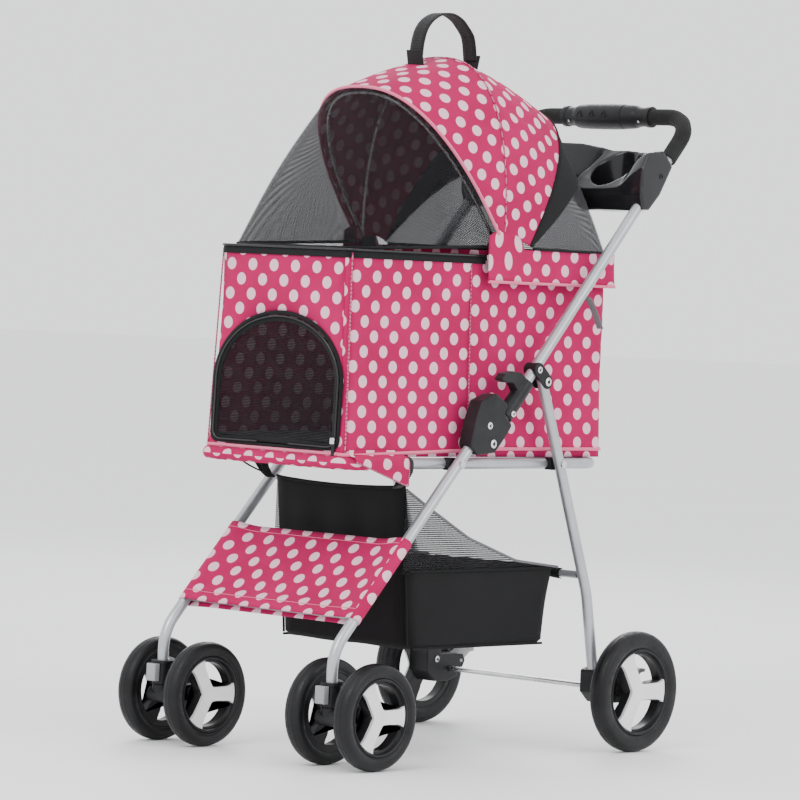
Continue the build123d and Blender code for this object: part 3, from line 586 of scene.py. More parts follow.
def slack(s, t):
    """Shallow dents between the top rail and the floor, where the cloth hangs a little loose."""
    return -(2.9 * sin(s * 17.0) * sin(s * 9.0 + 1.0 + t)
             + 2.6) * sin(pi * t) ** 1.1 - 0.9 * sin(s * 60 + t * 7) * sin(pi * t)


def wall_place(s, t):
    height = cabin_low + (cabin_high - cabin_low) * t
    x, reach = cabin_edge(height, s)
    point = at(x, reach, height)
    out = Vector((x, (reach - 315) * 0.2, 0)).normalized()
    return point + out * slack(s, t) * MM


cabin_wall = cloth("cabin_wall", wall_place,
                   lambda s, t: ((s - 0.5) * wall_run * MM, (cabin_high - cabin_low) * MM * t), (220, 24),
                   pink, "carriage", cabin_inside, ("cabin",))
declare(cabin_wall)

door_half, door_sill, door_height, door_shoulder = 121.0, 442.0, 181.0, 88.0
door_middle = door_sill + 80


def front_reach(height):
    return cabin_size(height)[1]


def door_edge(share, grow=0.0):
    """(x, height) on the door's outline, going round from the bottom middle."""
    crown = door_height - door_shoulder
    points = [(0.0, 0.0), (door_half - 12, 0.0)]
    points += [(door_half - 12 + 12 * sin(pi / 2 * i / 6), 12 - 12 * cos(pi / 2 * i / 6))
               for i in range(1, 7)]
    points += [(door_half, door_shoulder)]
    points += [(door_half * cos(pi / 2 * i / 24), door_shoulder + crown * sin(pi / 2 * i / 24))
               for i in range(1, 25)]
    lengths = [hypot(b[0] - a[0], b[1] - a[1]) for a, b in zip(points, points[1:])]
    total = sum(lengths)
    mirrored = share > 0.5
    left = (1 - share if mirrored else share) * 2 * total
    x, z = points[-1]
    for (a, b), length in zip(zip(points, points[1:]), lengths):
        if left <= length:
            step = left / length
            x, z = a[0] + (b[0] - a[0]) * step, a[1] + (b[1] - a[1]) * step
            break
        left -= length
    middle = door_middle - door_sill
    reach_out = hypot(x, z - middle)
    x, z = x * (1 + grow / reach_out), middle + (z - middle) * (1 + grow / reach_out)
    return (-x if mirrored else x), door_sill + z


def on_front(x, height, proud=0.0):
    """A point on the cabin's front, and a little proud of it."""
    return at(x, front_reach(height) - proud, height)


def front_place(s, t):
    x, height = door_edge(s, 1.0)
    dx, dz = x, height - door_middle
    scale = min(
        (125.0 / abs(dx)) if abs(dx) > 1e-6 else 1e9,
        (cabin_high - door_middle) / dz if dz > 1e-6 else 1e9,
        (cabin_low - door_middle) / dz if dz < -1e-6 else 1e9,
    )
    outer_x, outer_z = dx * scale, door_middle + dz * scale
    half_there = cabin_size(outer_z)[0] - corner_r
    if abs(outer_x) > 100:
        share = (abs(outer_x) - 100) / 25
        outer_x = (100 + share * (half_there - 100)) * (1 if outer_x > 0 else -1)
    if hypot(abs(outer_x) - half_there, outer_z - cabin_high) < 4:
        outer_z = cabin_high
    return on_front(x + (outer_x - x) * t, height + (outer_z - height) * t)


cabin_front = cloth("cabin_front", front_place, flat_cut(front_place), (192, 4),
                    pink, "carriage", cabin_inside, closed=True)
declare(cabin_front)

# ================= cloth sleeve and flap on the rail =================
rail_x, rail_front, rail_z, rail_bend, sleeve_end, sleeve_r = 144.0, 35.0, 422.0, 30.0, 74.0, 9.4


def rail_point(share):
    """(x, reach) on the rail's centre line and the way out there, from the left side round the front."""
    return round_walk(((rail_x, sleeve_end), (rail_x, rail_front), (-rail_x, rail_front),
                       (-rail_x, sleeve_end)), rail_bend, share)


def sleeve_place(s, t):
    x, reach, out_x, out_reach = rail_point(s)
    spread = sleeve_r + 0.35 * sin(s * 95) * sin(s * 37 + 2)
    out, up = spread * cos(2 * pi * t), spread * sin(2 * pi * t)
    return at(x + out * out_x, reach + out * out_reach, rail_z + up)


sleeve_run = 2 * (sleeve_end - rail_front - rail_bend) + pi * rail_bend + 2 * (rail_x - rail_bend)
sleeve = cloth("rail_sleeve", sleeve_place, lambda s, t: (s * sleeve_run * MM, 2 * pi * sleeve_r * t * MM),
               (140, 20), pink, "carriage", at(0, 300, rail_z), closed=True, thickness=1.1)
declare(sleeve)
for index, share in enumerate((0.0, 1.0)):
    ring = [sleeve_place(share, i / 24) for i in range(24)]
    tube(f"sleeve_hem_{index}", ring, 1.0, piping_pink, "carriage", cyclic=True)

flap_drop = ((139.9, 441.0), (140.4, 436.0), (143.0, 432.9), (149.0, 432.2), (154.4, 427.0), (155.2, 421.0),
             (155.0, 408.0), (154.0, 386.0))


def flap_point(height):
    for (x0, z0), (x1, z1) in zip(flap_drop, flap_drop[1:]):
        if z1 <= height <= z0:
            return x0 + (x1 - x0) * (z0 - height) / (z0 - z1)
    return flap_drop[-1][0]


def flap_place(s, t):
    reach = 44 + 108 * s
    height = 440.5 + (424 - 34 * s - 440.5) * t
    x = flap_point(height)
    if height > 433:
        x = max(x, cabin_size(height)[0] + 0.9)
    return at(x + 0.6 * sin(9 * s) * t, reach, height)


flap = cloth("side_flap", flap_place, lambda s, t: (0.108 * s, (0.016 + 0.042 * s) * t), (48, 24), pink,
             "carriage", at(0, 100, 420), thickness=1.0)
declare(flap)
tube("side_flap_hem", [flap_place(i / 20, 1.0) for i in range(21)]
     + [flap_place(1.0, 1 - i / 10) for i in range(1, 9)], 1.0, pink, "carriage")

# ================= door, zips and bindings =================
def door_place(s, t):
    x, height = door_edge(s, -1.0)
    x, height = x * t, door_middle + (height - door_middle) * t
    return on_front(x, height, 0.6 + 2.0 * (1 - t * t))


door_net = cloth("door_net", door_place, flat_cut(door_place), (128, 12), black_net, "door",
                 cabin_inside, ("front_door",), thickness=1.0, closed=True)
declare(door_net)


def door_band(name, grow_from, grow_to, proud, body, material, thickness):
    def place(s, t):
        x, height = door_edge(s, grow_from + (grow_to - grow_from) * t)
        return on_front(x, height, proud)
    return cloth(name, place, flat_cut(place), (128, 2), material, body, cabin_inside,
                 thickness=thickness, closed=True)


door_band("door_zip_inner", -9.0, -0.8, 1.5, "door", black_cloth, 1.2)
door_band("door_zip_outer", 0.8, 6.5, 1.5, "carriage", black_cloth, 1.2)
zip_line = [on_front(*door_edge(i / 96, -1.4), 2.6) for i in range(4, 93)]
tube("door_zip_coil", zip_line, 1.5, gloss_plastic, "door")


def bar(name, base, run, cross, lift, size, material, body, width=1.0, replaces=()):
    """A small rounded block: base is the middle of its foot, size is (run, cross, lift) in millimetres."""
    shape = bmesh.new()
    bmesh.ops.create_cube(shape, size=1.0)
    run, cross, lift = (Vector(v).normalized() for v in (run, cross, lift))
    for vert in shape.verts:
        share = vert.co.copy()
        vert.co = base + (run * share.x * size[0] + cross * share.y * size[1]
                          + lift * (share.z + 0.5) * size[2]) * MM
    bmesh.ops.recalc_face_normals(shape, faces=shape.faces[:])
    bmesh.ops.bevel(shape, geom=shape.edges[:], offset=width * MM, affect="EDGES", segments=3, profile=0.5,
                    material=-1)
    return keep(name, shape, material, body, 35, replaces)


pull_x, pull_height = door_half - 4, door_sill + 10
bar("door_zip_slider", on_front(pull_x, pull_height, 2.0), (0, 0, 1), (1, 0, 0), (0, -1, 0), (9, 8, 4),
    bright, "door")
bar("door_zip_pull", on_front(pull_x + 1, pull_height - 14, 2.5), (0.1, 0, 1), (1, 0, 0), (0, -1, 0),
    (22, 6, 1.6), black_plastic, "door", 0.6)

floor_line = [cabin_edge(440, i / 160, -0.8) for i in range(161)]
tube("floor_hem", [at(x, reach, 433.5 + 9 * min(1, max(0, reach - 60) / 300)) for x, reach in floor_line],
     2.6, piping_pink, "carriage")
tube("front_hem", [on_front(125 - 250 * i / 12, 434, 0.8) for i in range(13)], 2.6, piping_pink, "carriage")
seam_heights = [433 + 282 * i / 20 for i in range(21)]
for side, sign in sides:
    seam = [at(sign * (cabin_size(height)[0] + 0.3), 291, height) for height in seam_heights]
    tube(f"side_seam_{side}", seam, 0.9, pink, "carriage")
    corner = [at(sign * (cabin_size(height)[0] - 3.6), cabin_size(height)[1] + 3.6, height)
              for height in seam_heights]
    tube(f"corner_seam_{side}", corner, 1.2, pink, "carriage")

zip_end, zip_low, zip_high = 320.0, 711.0, 719.0


def top_band(height_from, height_to, proud, share, t):
    """The front zip's run: along one side, over the front and back along the other side."""
    height = height_from + (height_to - height_from) * t
    half, front, _ = cabin_size(height)
    half, front = half + proud, front - proud
    x, reach = round_walk(((half, zip_end), (half, front), (-half, front), (-half, zip_end)),
                          corner_r + proud, share)[:2]
    return at(x, reach, height)


zip_length = 0.82
cloth("top_zip_tape", lambda s, t: top_band(zip_low - 3, zip_high, 1.4, s, t),
      lambda s, t: (s * zip_length, t * 0.011), (160, 2), black_cloth, "carriage", cabin_inside,
      thickness=1.2)
tube("top_zip_coil", [top_band(719.5, 719.5, 2.2, i / 120, 0) for i in range(121)], 1.8,
     gloss_plastic, "carriage")
for side, sign in sides:
    bar(f"top_zip_stop_{side}", at(sign * 131.5, zip_end + 6, 717), (0, 1, 0), (0, 0, 1), (sign, 0, 0),
        (12, 8, 4), bright, "carriage")
    bar(f"top_zip_pull_{side}", at(sign * 133.5, zip_end + 8, 701), (0, 0.15, 1), (0, 1, 0), (sign, 0, 0),
        (24, 6, 1.6), black_plastic, "carriage", 0.6)

# ================= canopy skirt =================
skirt_half, skirt_front, skirt_rear, skirt_low = 144.6, 312.0, 601.0, 683.0
skirt_side = skirt_rear - skirt_front - corner_r
skirt_run = 2 * skirt_side + pi * corner_r + 2 * skirt_half - 2 * corner_r


def skirt_plan(share, proud):
    """(x, reach) on the skirt's plan, proud of it, from the left side over the back to the right side."""
    x, reach, out_x, out_reach = round_walk(((skirt_half, skirt_front), (skirt_half, skirt_rear),
                                             (-skirt_half, skirt_rear), (-skirt_half, skirt_front)),
                                            corner_r, share)
    return x + proud * out_x, reach + proud * out_reach


def skirt_place(s, t):
    flare = (1 - t) ** 2 * (2.2 + 1.4 * sin(s * 37.0) + 0.8 * sin(s * 83.0))
    x, reach = skirt_plan(s, flare)
    shoulder = max(0.0, 1 - ((reach - 345) / 42) ** 2) ** 0.5 if abs(reach - 345) < 42 else 0.0
    top = 731 + 27 * shoulder
    return at(x, reach, skirt_low + (top - skirt_low) * t)


skirt = cloth("skirt_cloth", skirt_place, lambda s, t: (s * skirt_run * MM, -0.02 + 0.048 * t), (200, 8),
              pink, "carriage", at(0, 450, 700), ("canopy_skirt",))
declare(skirt)
tube("skirt_binding", [skirt_place(i / 120, 0.0) for i in range(121)], 2.2, piping_pink, "carriage")

# ================= footrest cloth =================
lower_lean = radians(47.0)
lower_run = Vector((0, cos(lower_lean), sin(lower_lean)))
lower_out = Vector((0, -sin(lower_lean), cos(lower_lean)))
rest_low, rest_high = (204.0 - rail_z) / sin(lower_lean), (313.0 - rail_z) / sin(lower_lean)
rest_r = 9.5
front_pivot_reach = 241
rest_flat = 2 * side_x
rest_round = 2 * rest_flat + 2 * pi * rest_r


def lower_spot(x):
    """The joint of the front leg with the rail, at a side position."""
    return at(x, front_pivot_reach, rail_z)


def rest_place(s, t):
    left = s * rest_round
    along = rest_low + (rest_high - rest_low) * t
    if left < rest_flat:
        x, side_of = side_x - left, 1
    elif left < rest_flat + pi * rest_r:
        turn = (left - rest_flat) / rest_r
        x, out = -side_x - rest_r * sin(turn), rest_r * cos(turn)
        return lower_spot(x) + (lower_run * along + lower_out * out) * MM
    elif left < 2 * rest_flat + pi * rest_r:
        x, side_of = -side_x + left - rest_flat - pi * rest_r, -1
    else:
        turn = (left - 2 * rest_flat - pi * rest_r) / rest_r
        x, out = side_x + rest_r * sin(turn), -rest_r * cos(turn)
        return lower_spot(x) + (lower_run * along + lower_out * out) * MM
    near = min(1.0, max(0.0, (abs(x) - 118) / 49))
    near = near * near * (3 - 2 * near)
    hem = 1.0 if t < 0.14 else max(0.0, 1 - (t - 0.14) / 0.08)
    middle = 2.4 + hem * 5.0
    out = side_of * (middle + (rest_r - middle) * near)
    sway = (0.9 * sin(x * 0.055 + t * 5) + 0.7 * sin(x * 0.021 - t * 3.5)) * sin(pi * t) * (1 - near)
    return lower_spot(x) + (lower_run * along + lower_out * (out + sway)) * MM


footrest = cloth("footrest_cloth", rest_place, lambda s, t: (s * rest_round * MM, 0.149 * t), (220, 22), pink,
                 "lower_frame", lower_spot(0) + lower_run * (rest_low + rest_high) / 2 * MM,
                 ("footrest",), closed=True)
declare(footrest)
for share, place_name in ((0.105, "low"), (0.93, "high")):
    stitch = [rest_place(0.49 * i / 60, share) + lower_out * 0.4 * MM for i in range(61)]
    tube(f"footrest_stitch_{place_name}", stitch, 0.5, piping_pink, "lower_frame")

# ================= basket =================
basket_half, basket_floor, basket_level, basket_bend = 128.0, 153.5, 268.0, 22.0
basket_middle = at(0, 345, 220)
side_rise = [(516, 268), (420, 279), (315, 313), (230, 356), (170, 388)]


def along_points(points, value):
    """Height of a side-view line at a reach, straight between its points."""
    for (a, za), (b, zb) in zip(points, points[1:]):
        if b <= value <= a:
            share = (a - value) / (a - b)
            return za + (zb - za) * share
    return points[0][1] if value > points[0][0] else points[-1][1]


def basket_front_reach(height):
    """The basket's front leans forward as it rises."""
    return 195 - 25 * (height - 168) / 220


def basket_plan(share, height, grow=0.0):
    """(x, reach) on the basket's plan at a height, going round from the middle of the back."""
    front = basket_front_reach(height)
    rear = 498 + 18 * (height - 160) / 108
    half = basket_half + grow
    return round_walk(((0, rear), (half, rear), (half, front), (-half, front), (-half, rear), (0, rear)),
                      basket_bend, share)[:2]


floor_share = 0.42


def basket_place(s, t):
    if t < floor_share:
        x, reach = basket_plan(s, 160)
        share = (t / floor_share) ** 0.8
        inset = 0.97 * share
        point_x, point_reach = x * inset, 346 + (reach - 346) * inset
        dip = 0.9 * sin(point_x * 0.05) * sin(point_reach * 0.035)
        return at(point_x, point_reach, basket_floor + dip + 2.4 * share ** 8)
    up = (t - floor_share) / (1 - floor_share)
    height = basket_floor + 4 + (basket_level - basket_floor - 4) * up
    slump = sin(pi * up ** 0.8)
    grow = -2.0 * slump + 1.6 * sin(s * 23 + up * 3) * slump
    x, reach = basket_plan(s, height, grow)
    return at(x, reach, height + 2.0 * sin(s * 2 * pi * 3) * up * 0.5)


def basket_cut(s, t):
    """The floor lies flat and the walls fold out from its edge."""
    if t < floor_share:
        point = basket_place(s, t)
        return (point.x, point.y)
    (x0, y0), (x1, y1) = basket_plan(max(s - 0.002, 0), 160), basket_plan(min(s + 0.002, 1), 160)
    foot = basket_place(s, floor_share * 0.999)
    out = Vector((y0 - y1, x1 - x0)).normalized()
    if out.dot(Vector((foot.x, foot.y - basket_middle.y))) < 0:
        out = -out
    spread = (t - floor_share) / (1 - floor_share) * (basket_level - basket_floor) * MM
    return (foot.x + out.x * spread, foot.y + out.y * spread)


basket_body = cloth("basket_body", basket_place, basket_cut, (144, 36), black_cloth, None,
                    basket_middle, ("basket",), thickness=1.6, closed=True)
declare(basket_body)


def basket_piece(piece):
    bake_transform(piece)
    return piece


basket_piece(basket_body)


def basket_front_place(s, t):
    height = 262 + 126 * t
    front = basket_front_reach(height)
    x = (s - 0.5) * 2 * (basket_half - 1)
    corner = max(0.0, abs(x) - (basket_half - 20)) / 20
    sag = 5.0 * t ** 3 * (1 - (2 * s - 1) ** 2)
    return at(x, front + 8 * corner ** 2 + 1.2 * sin(s * 21) * sin(pi * t), height - sag)


basket_front = cloth("basket_front", basket_front_place, flat_cut(basket_front_place), (60, 16), black_cloth,
                     None, basket_middle, thickness=1.6)
basket_piece(basket_front)
declare(basket_front)
for side, sign in sides:
    def net_place(s, t, sign=sign):
        reach = 178 + (514 - 178) * s
        top = along_points(side_rise, reach)
        low_edge = 265.0
        height = low_edge + (max(top, low_edge + 1) - low_edge) * t
        return at(sign * (basket_half + 0.2 - 1.6 * sin(pi * t) * sin(pi * s)), reach, height)

    def net_cut(s, t, sign=sign):
        point = net_place(s, t, sign)
        return (point.y, point.z)

    side_net = cloth(f"basket_net_{side}", net_place, net_cut, (60, 12), basket_net, None, basket_middle,
                     thickness=1.0)
    basket_piece(side_net)
    declare(side_net)
    edge = [net_place(i / 40, 1.0) for i in range(41)]
    basket_piece(tube(f"basket_rise_binding_{side}", edge, 2.0, grey_binding, None))
    level_edge = [at(sign * (basket_half + 0.8), 190 + 310 * i / 20, 266.5) for i in range(21)]
    basket_piece(tube(f"basket_level_binding_{side}", level_edge, 1.6, black_cloth, None))
    foot_edge = [at(sign * (basket_half - 1.0), 205 + 282 * i / 20, 156.5) for i in range(21)]
    basket_piece(tube(f"basket_foot_binding_{side}", foot_edge, 1.8, black_cloth, None))
    upright = [at(sign * (basket_half - 6), 200 - 22 * i / 20, 160 + 224 * i / 20) for i in range(21)]
    basket_piece(tube(f"basket_corner_binding_{side}", upright, 1.8, black_cloth, None))
front_top = [basket_front_place(i / 40, 1.0) for i in range(41)]
basket_piece(tube("basket_front_binding", front_top, 2.2, black_cloth, None))


def bar_sleeve(s, t):
    """The basket's rear hem, wrapped once round its cross bar."""
    wrap = 1.5 * pi * t - 0.55 * pi
    x = (s - 0.5) * 2 * (basket_half - 2)
    return at(x, 526 - 8.0 * cos(wrap), 259 + 8.0 * sin(wrap) + 0.8 * sin(s * 30))


bar_hem = cloth("basket_bar_sleeve", bar_sleeve, lambda s, t: (s * 0.252, t * 0.038), (60, 14), black_cloth,
                "rear_legs", at(0, 526, 259), thickness=1.4)
declare(bar_hem)


def band(name, points, width_axis, width, thickness, material, body, replaces=()):
    """Flat webbing of a given width that follows points."""
    lengths = [0.0]
    for before, after in zip(points, points[1:]):
        lengths.append(lengths[-1] + (after - before).length)
    count = len(points) - 1
    axis = Vector(width_axis).normalized()

    def place(s, t):
        return points[round(t * count)] + axis * (s - 0.5) * width * MM

    middle = sum(points, Vector()) / len(points)
    return cloth(name, place, lambda s, t: ((s - 0.5) * width * MM, lengths[round(t * count)]), (4, count),
                 material, body, middle, replaces, thickness=thickness)


wrap_r = 9.7
for side, sign in sides:
    wrap = [(123.5, 386), (128, 392), (133, 400), (135.4, 409)]
    wrap += [(rail_x - wrap_r * cos(pi * i / 12), rail_z + wrap_r * sin(pi * i / 12)) for i in range(-1, 14)]
    wrap += [(151.5, 410), (144, 400), (135, 391), (127, 386)]
    loop = band(f"basket_loop_{side}",
                [at(sign * x, 160 + (height - 386) * -0.12, height) for x, height in wrap], (0, 1, 0), 14,
                1.2, webbing, "carriage")
    declare(loop)
for number, reach in enumerate((112, 148)):
    cord_line = [at(-126, 171, 386), at(-134, (171 + reach) / 2, 396), at(-140, reach + 4, 408),
                 at(-144, reach, 414)]
    tube(f"basket_tie_{number}", cord_line, 1.3, webbing, "carriage")

# ================= carry strap =================
strap_line = [(295, 1006), (297, 1024), (303, 1043), (314, 1057), (328, 1066), (340, 1070.3), (352, 1071.6),
              (365, 1070.6), (382, 1064), (396, 1053), (407, 1041), (412, 1025), (415, 1006)]
curve = []
for before, here, after, beyond in zip([strap_line[0]] + strap_line, strap_line, strap_line[1:],
                                       strap_line[2:] + [strap_line[-1]]):
    for step in range(6):
        t = step / 6
        spot = [eased(*values, t) for values in zip(before, here, after, beyond)]
        curve.append(at(0, *spot))
curve.append(at(0, *strap_line[-1]))
carry = band("carry_webbing", curve, (1, 0, 0), 25, 2.6, webbing, "main_bow", ("carry_strap",))
declare(carry)
for name, reach, lean in (("front", 296, -0.2), ("rear", 414, 0.25)):
    bar(f"carry_patch_{name}", at(0, reach, 1001), (0, lean, 1), (1, 0, 0),
        (0, -1 if name == "front" else 1, 0), (26, 30, 3.0), webbing, "main_bow", 0.8)

# ================= floor mat =================
mat_low, mat_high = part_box("floor_mat")
mat_shape = bmesh.new()
bmesh.ops.create_cube(mat_shape, size=2.0)
bmesh.ops.subdivide_edges(mat_shape, edges=mat_shape.edges[:], cuts=31, use_grid_fill=True)
mat_middle, mat_reach = (mat_low + mat_high) / 2, (mat_high - mat_low) / 2
for vert in mat_shape.verts:
    x, y, z = vert.co
    crown = (1 - abs(x) ** 8) ** 0.5 * (1 - abs(y) ** 8) ** 0.5
    channel = 1 - 0.30 * (max(0, cos(x * pi * 1.5)) ** 24 + max(0, cos(y * pi * 3)) ** 24)
    lift = z * (0.30 + 0.70 * crown * (channel if z > 0 else 1))
    pinch = 1 - 0.012 * (abs(z) < 0.3)
    vert.co = mat_middle + Vector((x * mat_reach.x * pinch, y * mat_reach.y * pinch, lift * mat_reach.z))
bmesh.ops.recalc_face_normals(mat_shape, faces=mat_shape.faces[:])
mat_uv = mat_shape.loops.layers.uv.new("cut")
for face in mat_shape.faces:
    for loop in face.loops:
        loop[mat_uv].uv = (loop.vert.co.x, loop.vert.co.y)
mat = keep("floor_pad", mat_shape, mat_cloth, "carriage", 60, ("floor_mat",))

# ================= wheels =================
def three_arms(name, centre, outward, seat, grow, depths, edge, material, body):
    """A plate with three arms that flare to the rim, and wide hollow curves between them."""
    crotch = [(0.225, 60), (0.24, 50), (0.28, 40), (0.345, 31), (0.44, 24.0)]
    flare = [(0.56, 0.186), (0.64, 0.187), (0.72, 0.196), (0.80, 0.216), (0.86, 0.245), (0.885, 0.268)]
    half = [(seat * r + grow, radians(turn)) for r, turn in crotch]
    half += [(hypot(seat * a, seat * b + grow), atan2(seat * b + grow, seat * a)) for a, b in flare]
    half += [(seat - 4.8, half[-1][1] * share) for share in (0.97, 0.65, 0.33)]
    shape = bmesh.new()
    corners = []
    for arm_turn in (0, 120, 240):
        turns = [(r, radians(arm_turn) - turn) for r, turn in half] + [(seat - 4.8, radians(arm_turn))]
        turns += [(r, radians(arm_turn) + turn) for r, turn in half[:0:-1]]
        for r, turn in turns:
            corners.append(shape.verts.new(centre + Vector((outward * depths[0], r * cos(turn),
                                                            r * sin(turn))) * MM))
    shape.faces.new(corners)
    made = bmesh.ops.extrude_face_region(shape, geom=shape.faces[:])
    moved = [part for part in made["geom"] if isinstance(part, bmesh.types.BMVert)]
    bmesh.ops.translate(shape, verts=moved, vec=Vector((outward * (depths[1] - depths[0]) * MM, 0, 0)))
    bmesh.ops.recalc_face_normals(shape, faces=shape.faces[:])
    piece = keep(name, shape, material, body, 35)
    return round_edges(piece, edge)


castor_trail, twin_offset, front_wheel_d, front_tyre_depth = 41.0, 46, 150.0, 20.0
rear_wheel_x, rear_axle_reach, rear_wheel_d, rear_tyre_depth = 214.0, 599.0, 178.0, 25.0
for side, sign in sides:
    wheel_list = [(f"front_inner_{side}", sign * (side_x - twin_offset), castor_trail, front_wheel_d,
                   front_tyre_depth, -sign), (f"front_outer_{side}", sign * (side_x + twin_offset),
                                              castor_trail, front_wheel_d, front_tyre_depth, sign),
                  (f"rear_{side}", sign * rear_wheel_x, rear_axle_reach, rear_wheel_d, rear_tyre_depth, sign)]
    for name, x, reach, wheel_d, depth, outward in wheel_list:
        body, radius = f"wheel_{name}", wheel_d / 2
        seat = radius - depth
        centre, out = at(x, reach, radius), (outward, 0, 0)
        flank = [(11.2, seat), (12.4, seat + 1.2), (12.4, seat + 3.2), (13.4, seat + 4.4), (14, seat + 7.5),
                 (14, radius - 9.0), (13.5, radius - 6.2), (12.2, radius - 3.8), (10.2, radius - 2.0),
                 (7.2, radius - 0.8), (3.8, radius - 0.1), (3.2, radius - 0.6), (2.6, radius)]
        profile = [(-a, b) for a, b in flank] + flank[::-1] + [(-11.2, seat)]
        turned(f"tyre_rubber_{name}", profile, centre, out, tyre_rubber, body, 96, (f"tyre_{name}",), 30)
        rim_profile = [(-11, seat), (10.6, seat), (12.2, seat - 0.6), (12.6, seat - 2.2), (11.4, seat - 3.6),
                       (7.0, seat - 4.6), (6.0, seat - 5.4), (5.6, seat - 8.6), (-10, seat - 8.6),
                       (-11, seat - 7.6), (-11, seat)]
        turned(f"rim_ring_{name}", rim_profile, centre, out, rim_plastic, body, 96, (f"rim_{name}",), 30)
        turned(f"rim_hub_{name}", [(-14, 0), (-14, 11), (-12, 13), (7, 13), (7, 0)], centre, out,
               rim_plastic, body, 48)
        three_arms(f"rim_arms_{name}", centre, outward, seat, 2.2, (-8.0, 6.0), 1.2, rim_plastic, body)
        three_arms(f"rim_cover_{name}", centre, outward, seat, 0.0, (5.0, 10.6), 1.0, white_plastic, body)

# ================= softened mouldings =================
def ease_edges(piece, grain, passes):
    """Lay a piece out afresh in small cells and ease it over its edges."""
    cells = piece.modifiers.new("cells", "REMESH")
    cells.mode = "VOXEL"
    cells.voxel_size = grain * MM
    cells.use_smooth_shade = True
    ease = piece.modifiers.new("ease", "SMOOTH")
    ease.factor = 0.5
    ease.iterations = passes
    return piece


def softened(node, grain, passes, material, body):
    """The node's own shape, laid out afresh in small cells and eased over its edges as a moulding is."""
    shape = bmesh.new()
    shape.from_mesh(bpy.data.objects[node].data)
    bmesh.ops.remove_doubles(shape, verts=shape.verts[:], dist=1e-6)
    return ease_edges(keep(f"{node}_moulding", shape, material, body, 180, (node,)), grain, passes)


body_of_node = {node: body for body, nodes in frame["record"]["behaviour"]["bodies"].items()
                for node in nodes}
for node, grain, passes, material in (("fold_shell", 1.0, 16, black_plastic),
                                      ("fold_lock", 1.0, 10, black_plastic),
                                      ("castor_fork", 1.0, 5, black_plastic),
                                      ("swivel_lock", 0.6, 3, grey_plastic),
                                      ("axle_housing", 1.1, 6, black_plastic),
                                      ("brake_pedal", 0.8, 4, grey_plastic),
                                      ("leg_brackets", 0.8, 4, black_plastic),):
    for name in [n for n in body_of_node if n == node or n in (f"{node}_left", f"{node}_right")]:
        softened(name, grain, passes, material, body_of_node[name])

# ================= drinks tray =================
# Side-view sections of the tray across it, each a side position and eight corners as (reach, height).
wing_end = ((612, 799), (605, 822), (607, 862), (618, 884), (655, 888), (677, 866), (650, 822), (626, 799))
wing_root = ((606, 797), (600, 822), (603, 848), (618, 872), (655, 888), (680, 868), (655, 822), (636, 797))
tray_sections = (
    (179, wing_end), (157, wing_root),
    (139, ((603, 797), (597, 820), (599, 832), (613, 846), (665, 886), (684, 876), (672, 830), (660, 797))),
    (100, ((604, 797), (596, 818), (596, 828), (610, 843), (676, 889), (690, 884), (682, 835), (672, 797))),
    (62, ((606, 797), (597, 818), (597, 829), (611, 844), (676, 889), (689, 884), (682, 835), (668, 797))),
    (46, ((606, 812), (597, 823), (596, 834), (606, 848), (670, 893), (684, 889), (680, 850), (670, 814))),
    (0, ((604, 821), (596, 829), (594, 842), (600, 856), (668, 899), (680, 897), (680, 858), (672, 821))),
    (-100, ((604, 821), (596, 829), (594, 842), (600, 856), (668, 899), (680, 897), (680, 858), (672, 821))),
    (-139, ((605, 811), (597, 824), (598, 840), (606, 856), (664, 892), (682, 882), (674, 845), (662, 812))),
    (-157, wing_root), (-179, wing_end),
)


def lofted(rings):
    """A closed body through rings of points."""
    shape = bmesh.new()
    made = [[shape.verts.new(point) for point in ring] for ring in rings]
    for before, after in zip(made, made[1:]):
        for i in range(len(before)):
            j = (i + 1) % len(before)
            shape.faces.new((before[i], before[j], after[j], after[i]))
    shape.faces.new(made[0])
    shape.faces.new(made[-1])
    bmesh.ops.recalc_face_normals(shape, faces=shape.faces[:])
    mesh = bpy.data.meshes.new("blank")
    shape.to_mesh(mesh)
    shape.free()
    holder = bpy.data.objects.new("blank", mesh)
    bpy.context.collection.objects.link(holder)
    return holder


tray_rings = []
for index in range(len(tray_sections) - 1):
    around = [tray_sections[min(max(index + k, 0), len(tray_sections) - 1)] for k in (-1, 0, 1, 2)]
    for step in range(6 if index < len(tray_sections) - 2 else 7):
        t = step / 6
        x = around[1][0] + (around[2][0] - around[1][0]) * t
        ring = [[eased(*(section[1][corner][k] for section in around), t) for k in (0, 1)]
                for corner in range(8)]
        tray_rings.append([at(x, *spot) for spot in ring])
tray_blank = lofted(tray_rings)
cup_rings = [[at(100 + r * cos(pi * i / 24), 640 + r * sin(pi * i / 24), z) for i in range(48)]
             for r, z in ((28.0, 803), (29.5, 804), (34.5, 820), (37.0, 832), (37.0, 960))]
bin_rings = [[at(x, reach, z) for x, reach in ((52 - inset, 603 + inset), (52 - inset, 668 - inset),
                                               (inset - 148, 668 - inset), (inset - 148, 603 + inset))]
             for inset, z in ((4.0, 827), (0.0, 833), (-4.0, 960))]
cutters = [lofted(cup_rings), lofted(bin_rings)]
for cutter in cutters:
    cut_away = tray_blank.modifiers.new("cut", "BOOLEAN")
    cut_away.operation = "DIFFERENCE"
    cut_away.solver = "EXACT"
    cut_away.object = cutter
bpy.context.view_layer.update()
tray_mesh = bpy.data.meshes.new_from_object(tray_blank.evaluated_get(bpy.context.evaluated_depsgraph_get()))
tray_shape = bmesh.new()
tray_shape.from_mesh(tray_mesh)
for holder in [tray_blank] + cutters:
    bpy.data.objects.remove(holder)
tray_piece = keep("drinks_tray_moulding", tray_shape, gloss_plastic, "upper_frame", 180, ("drinks_tray",))
ease_edges(tray_piece, 1.7, 10)

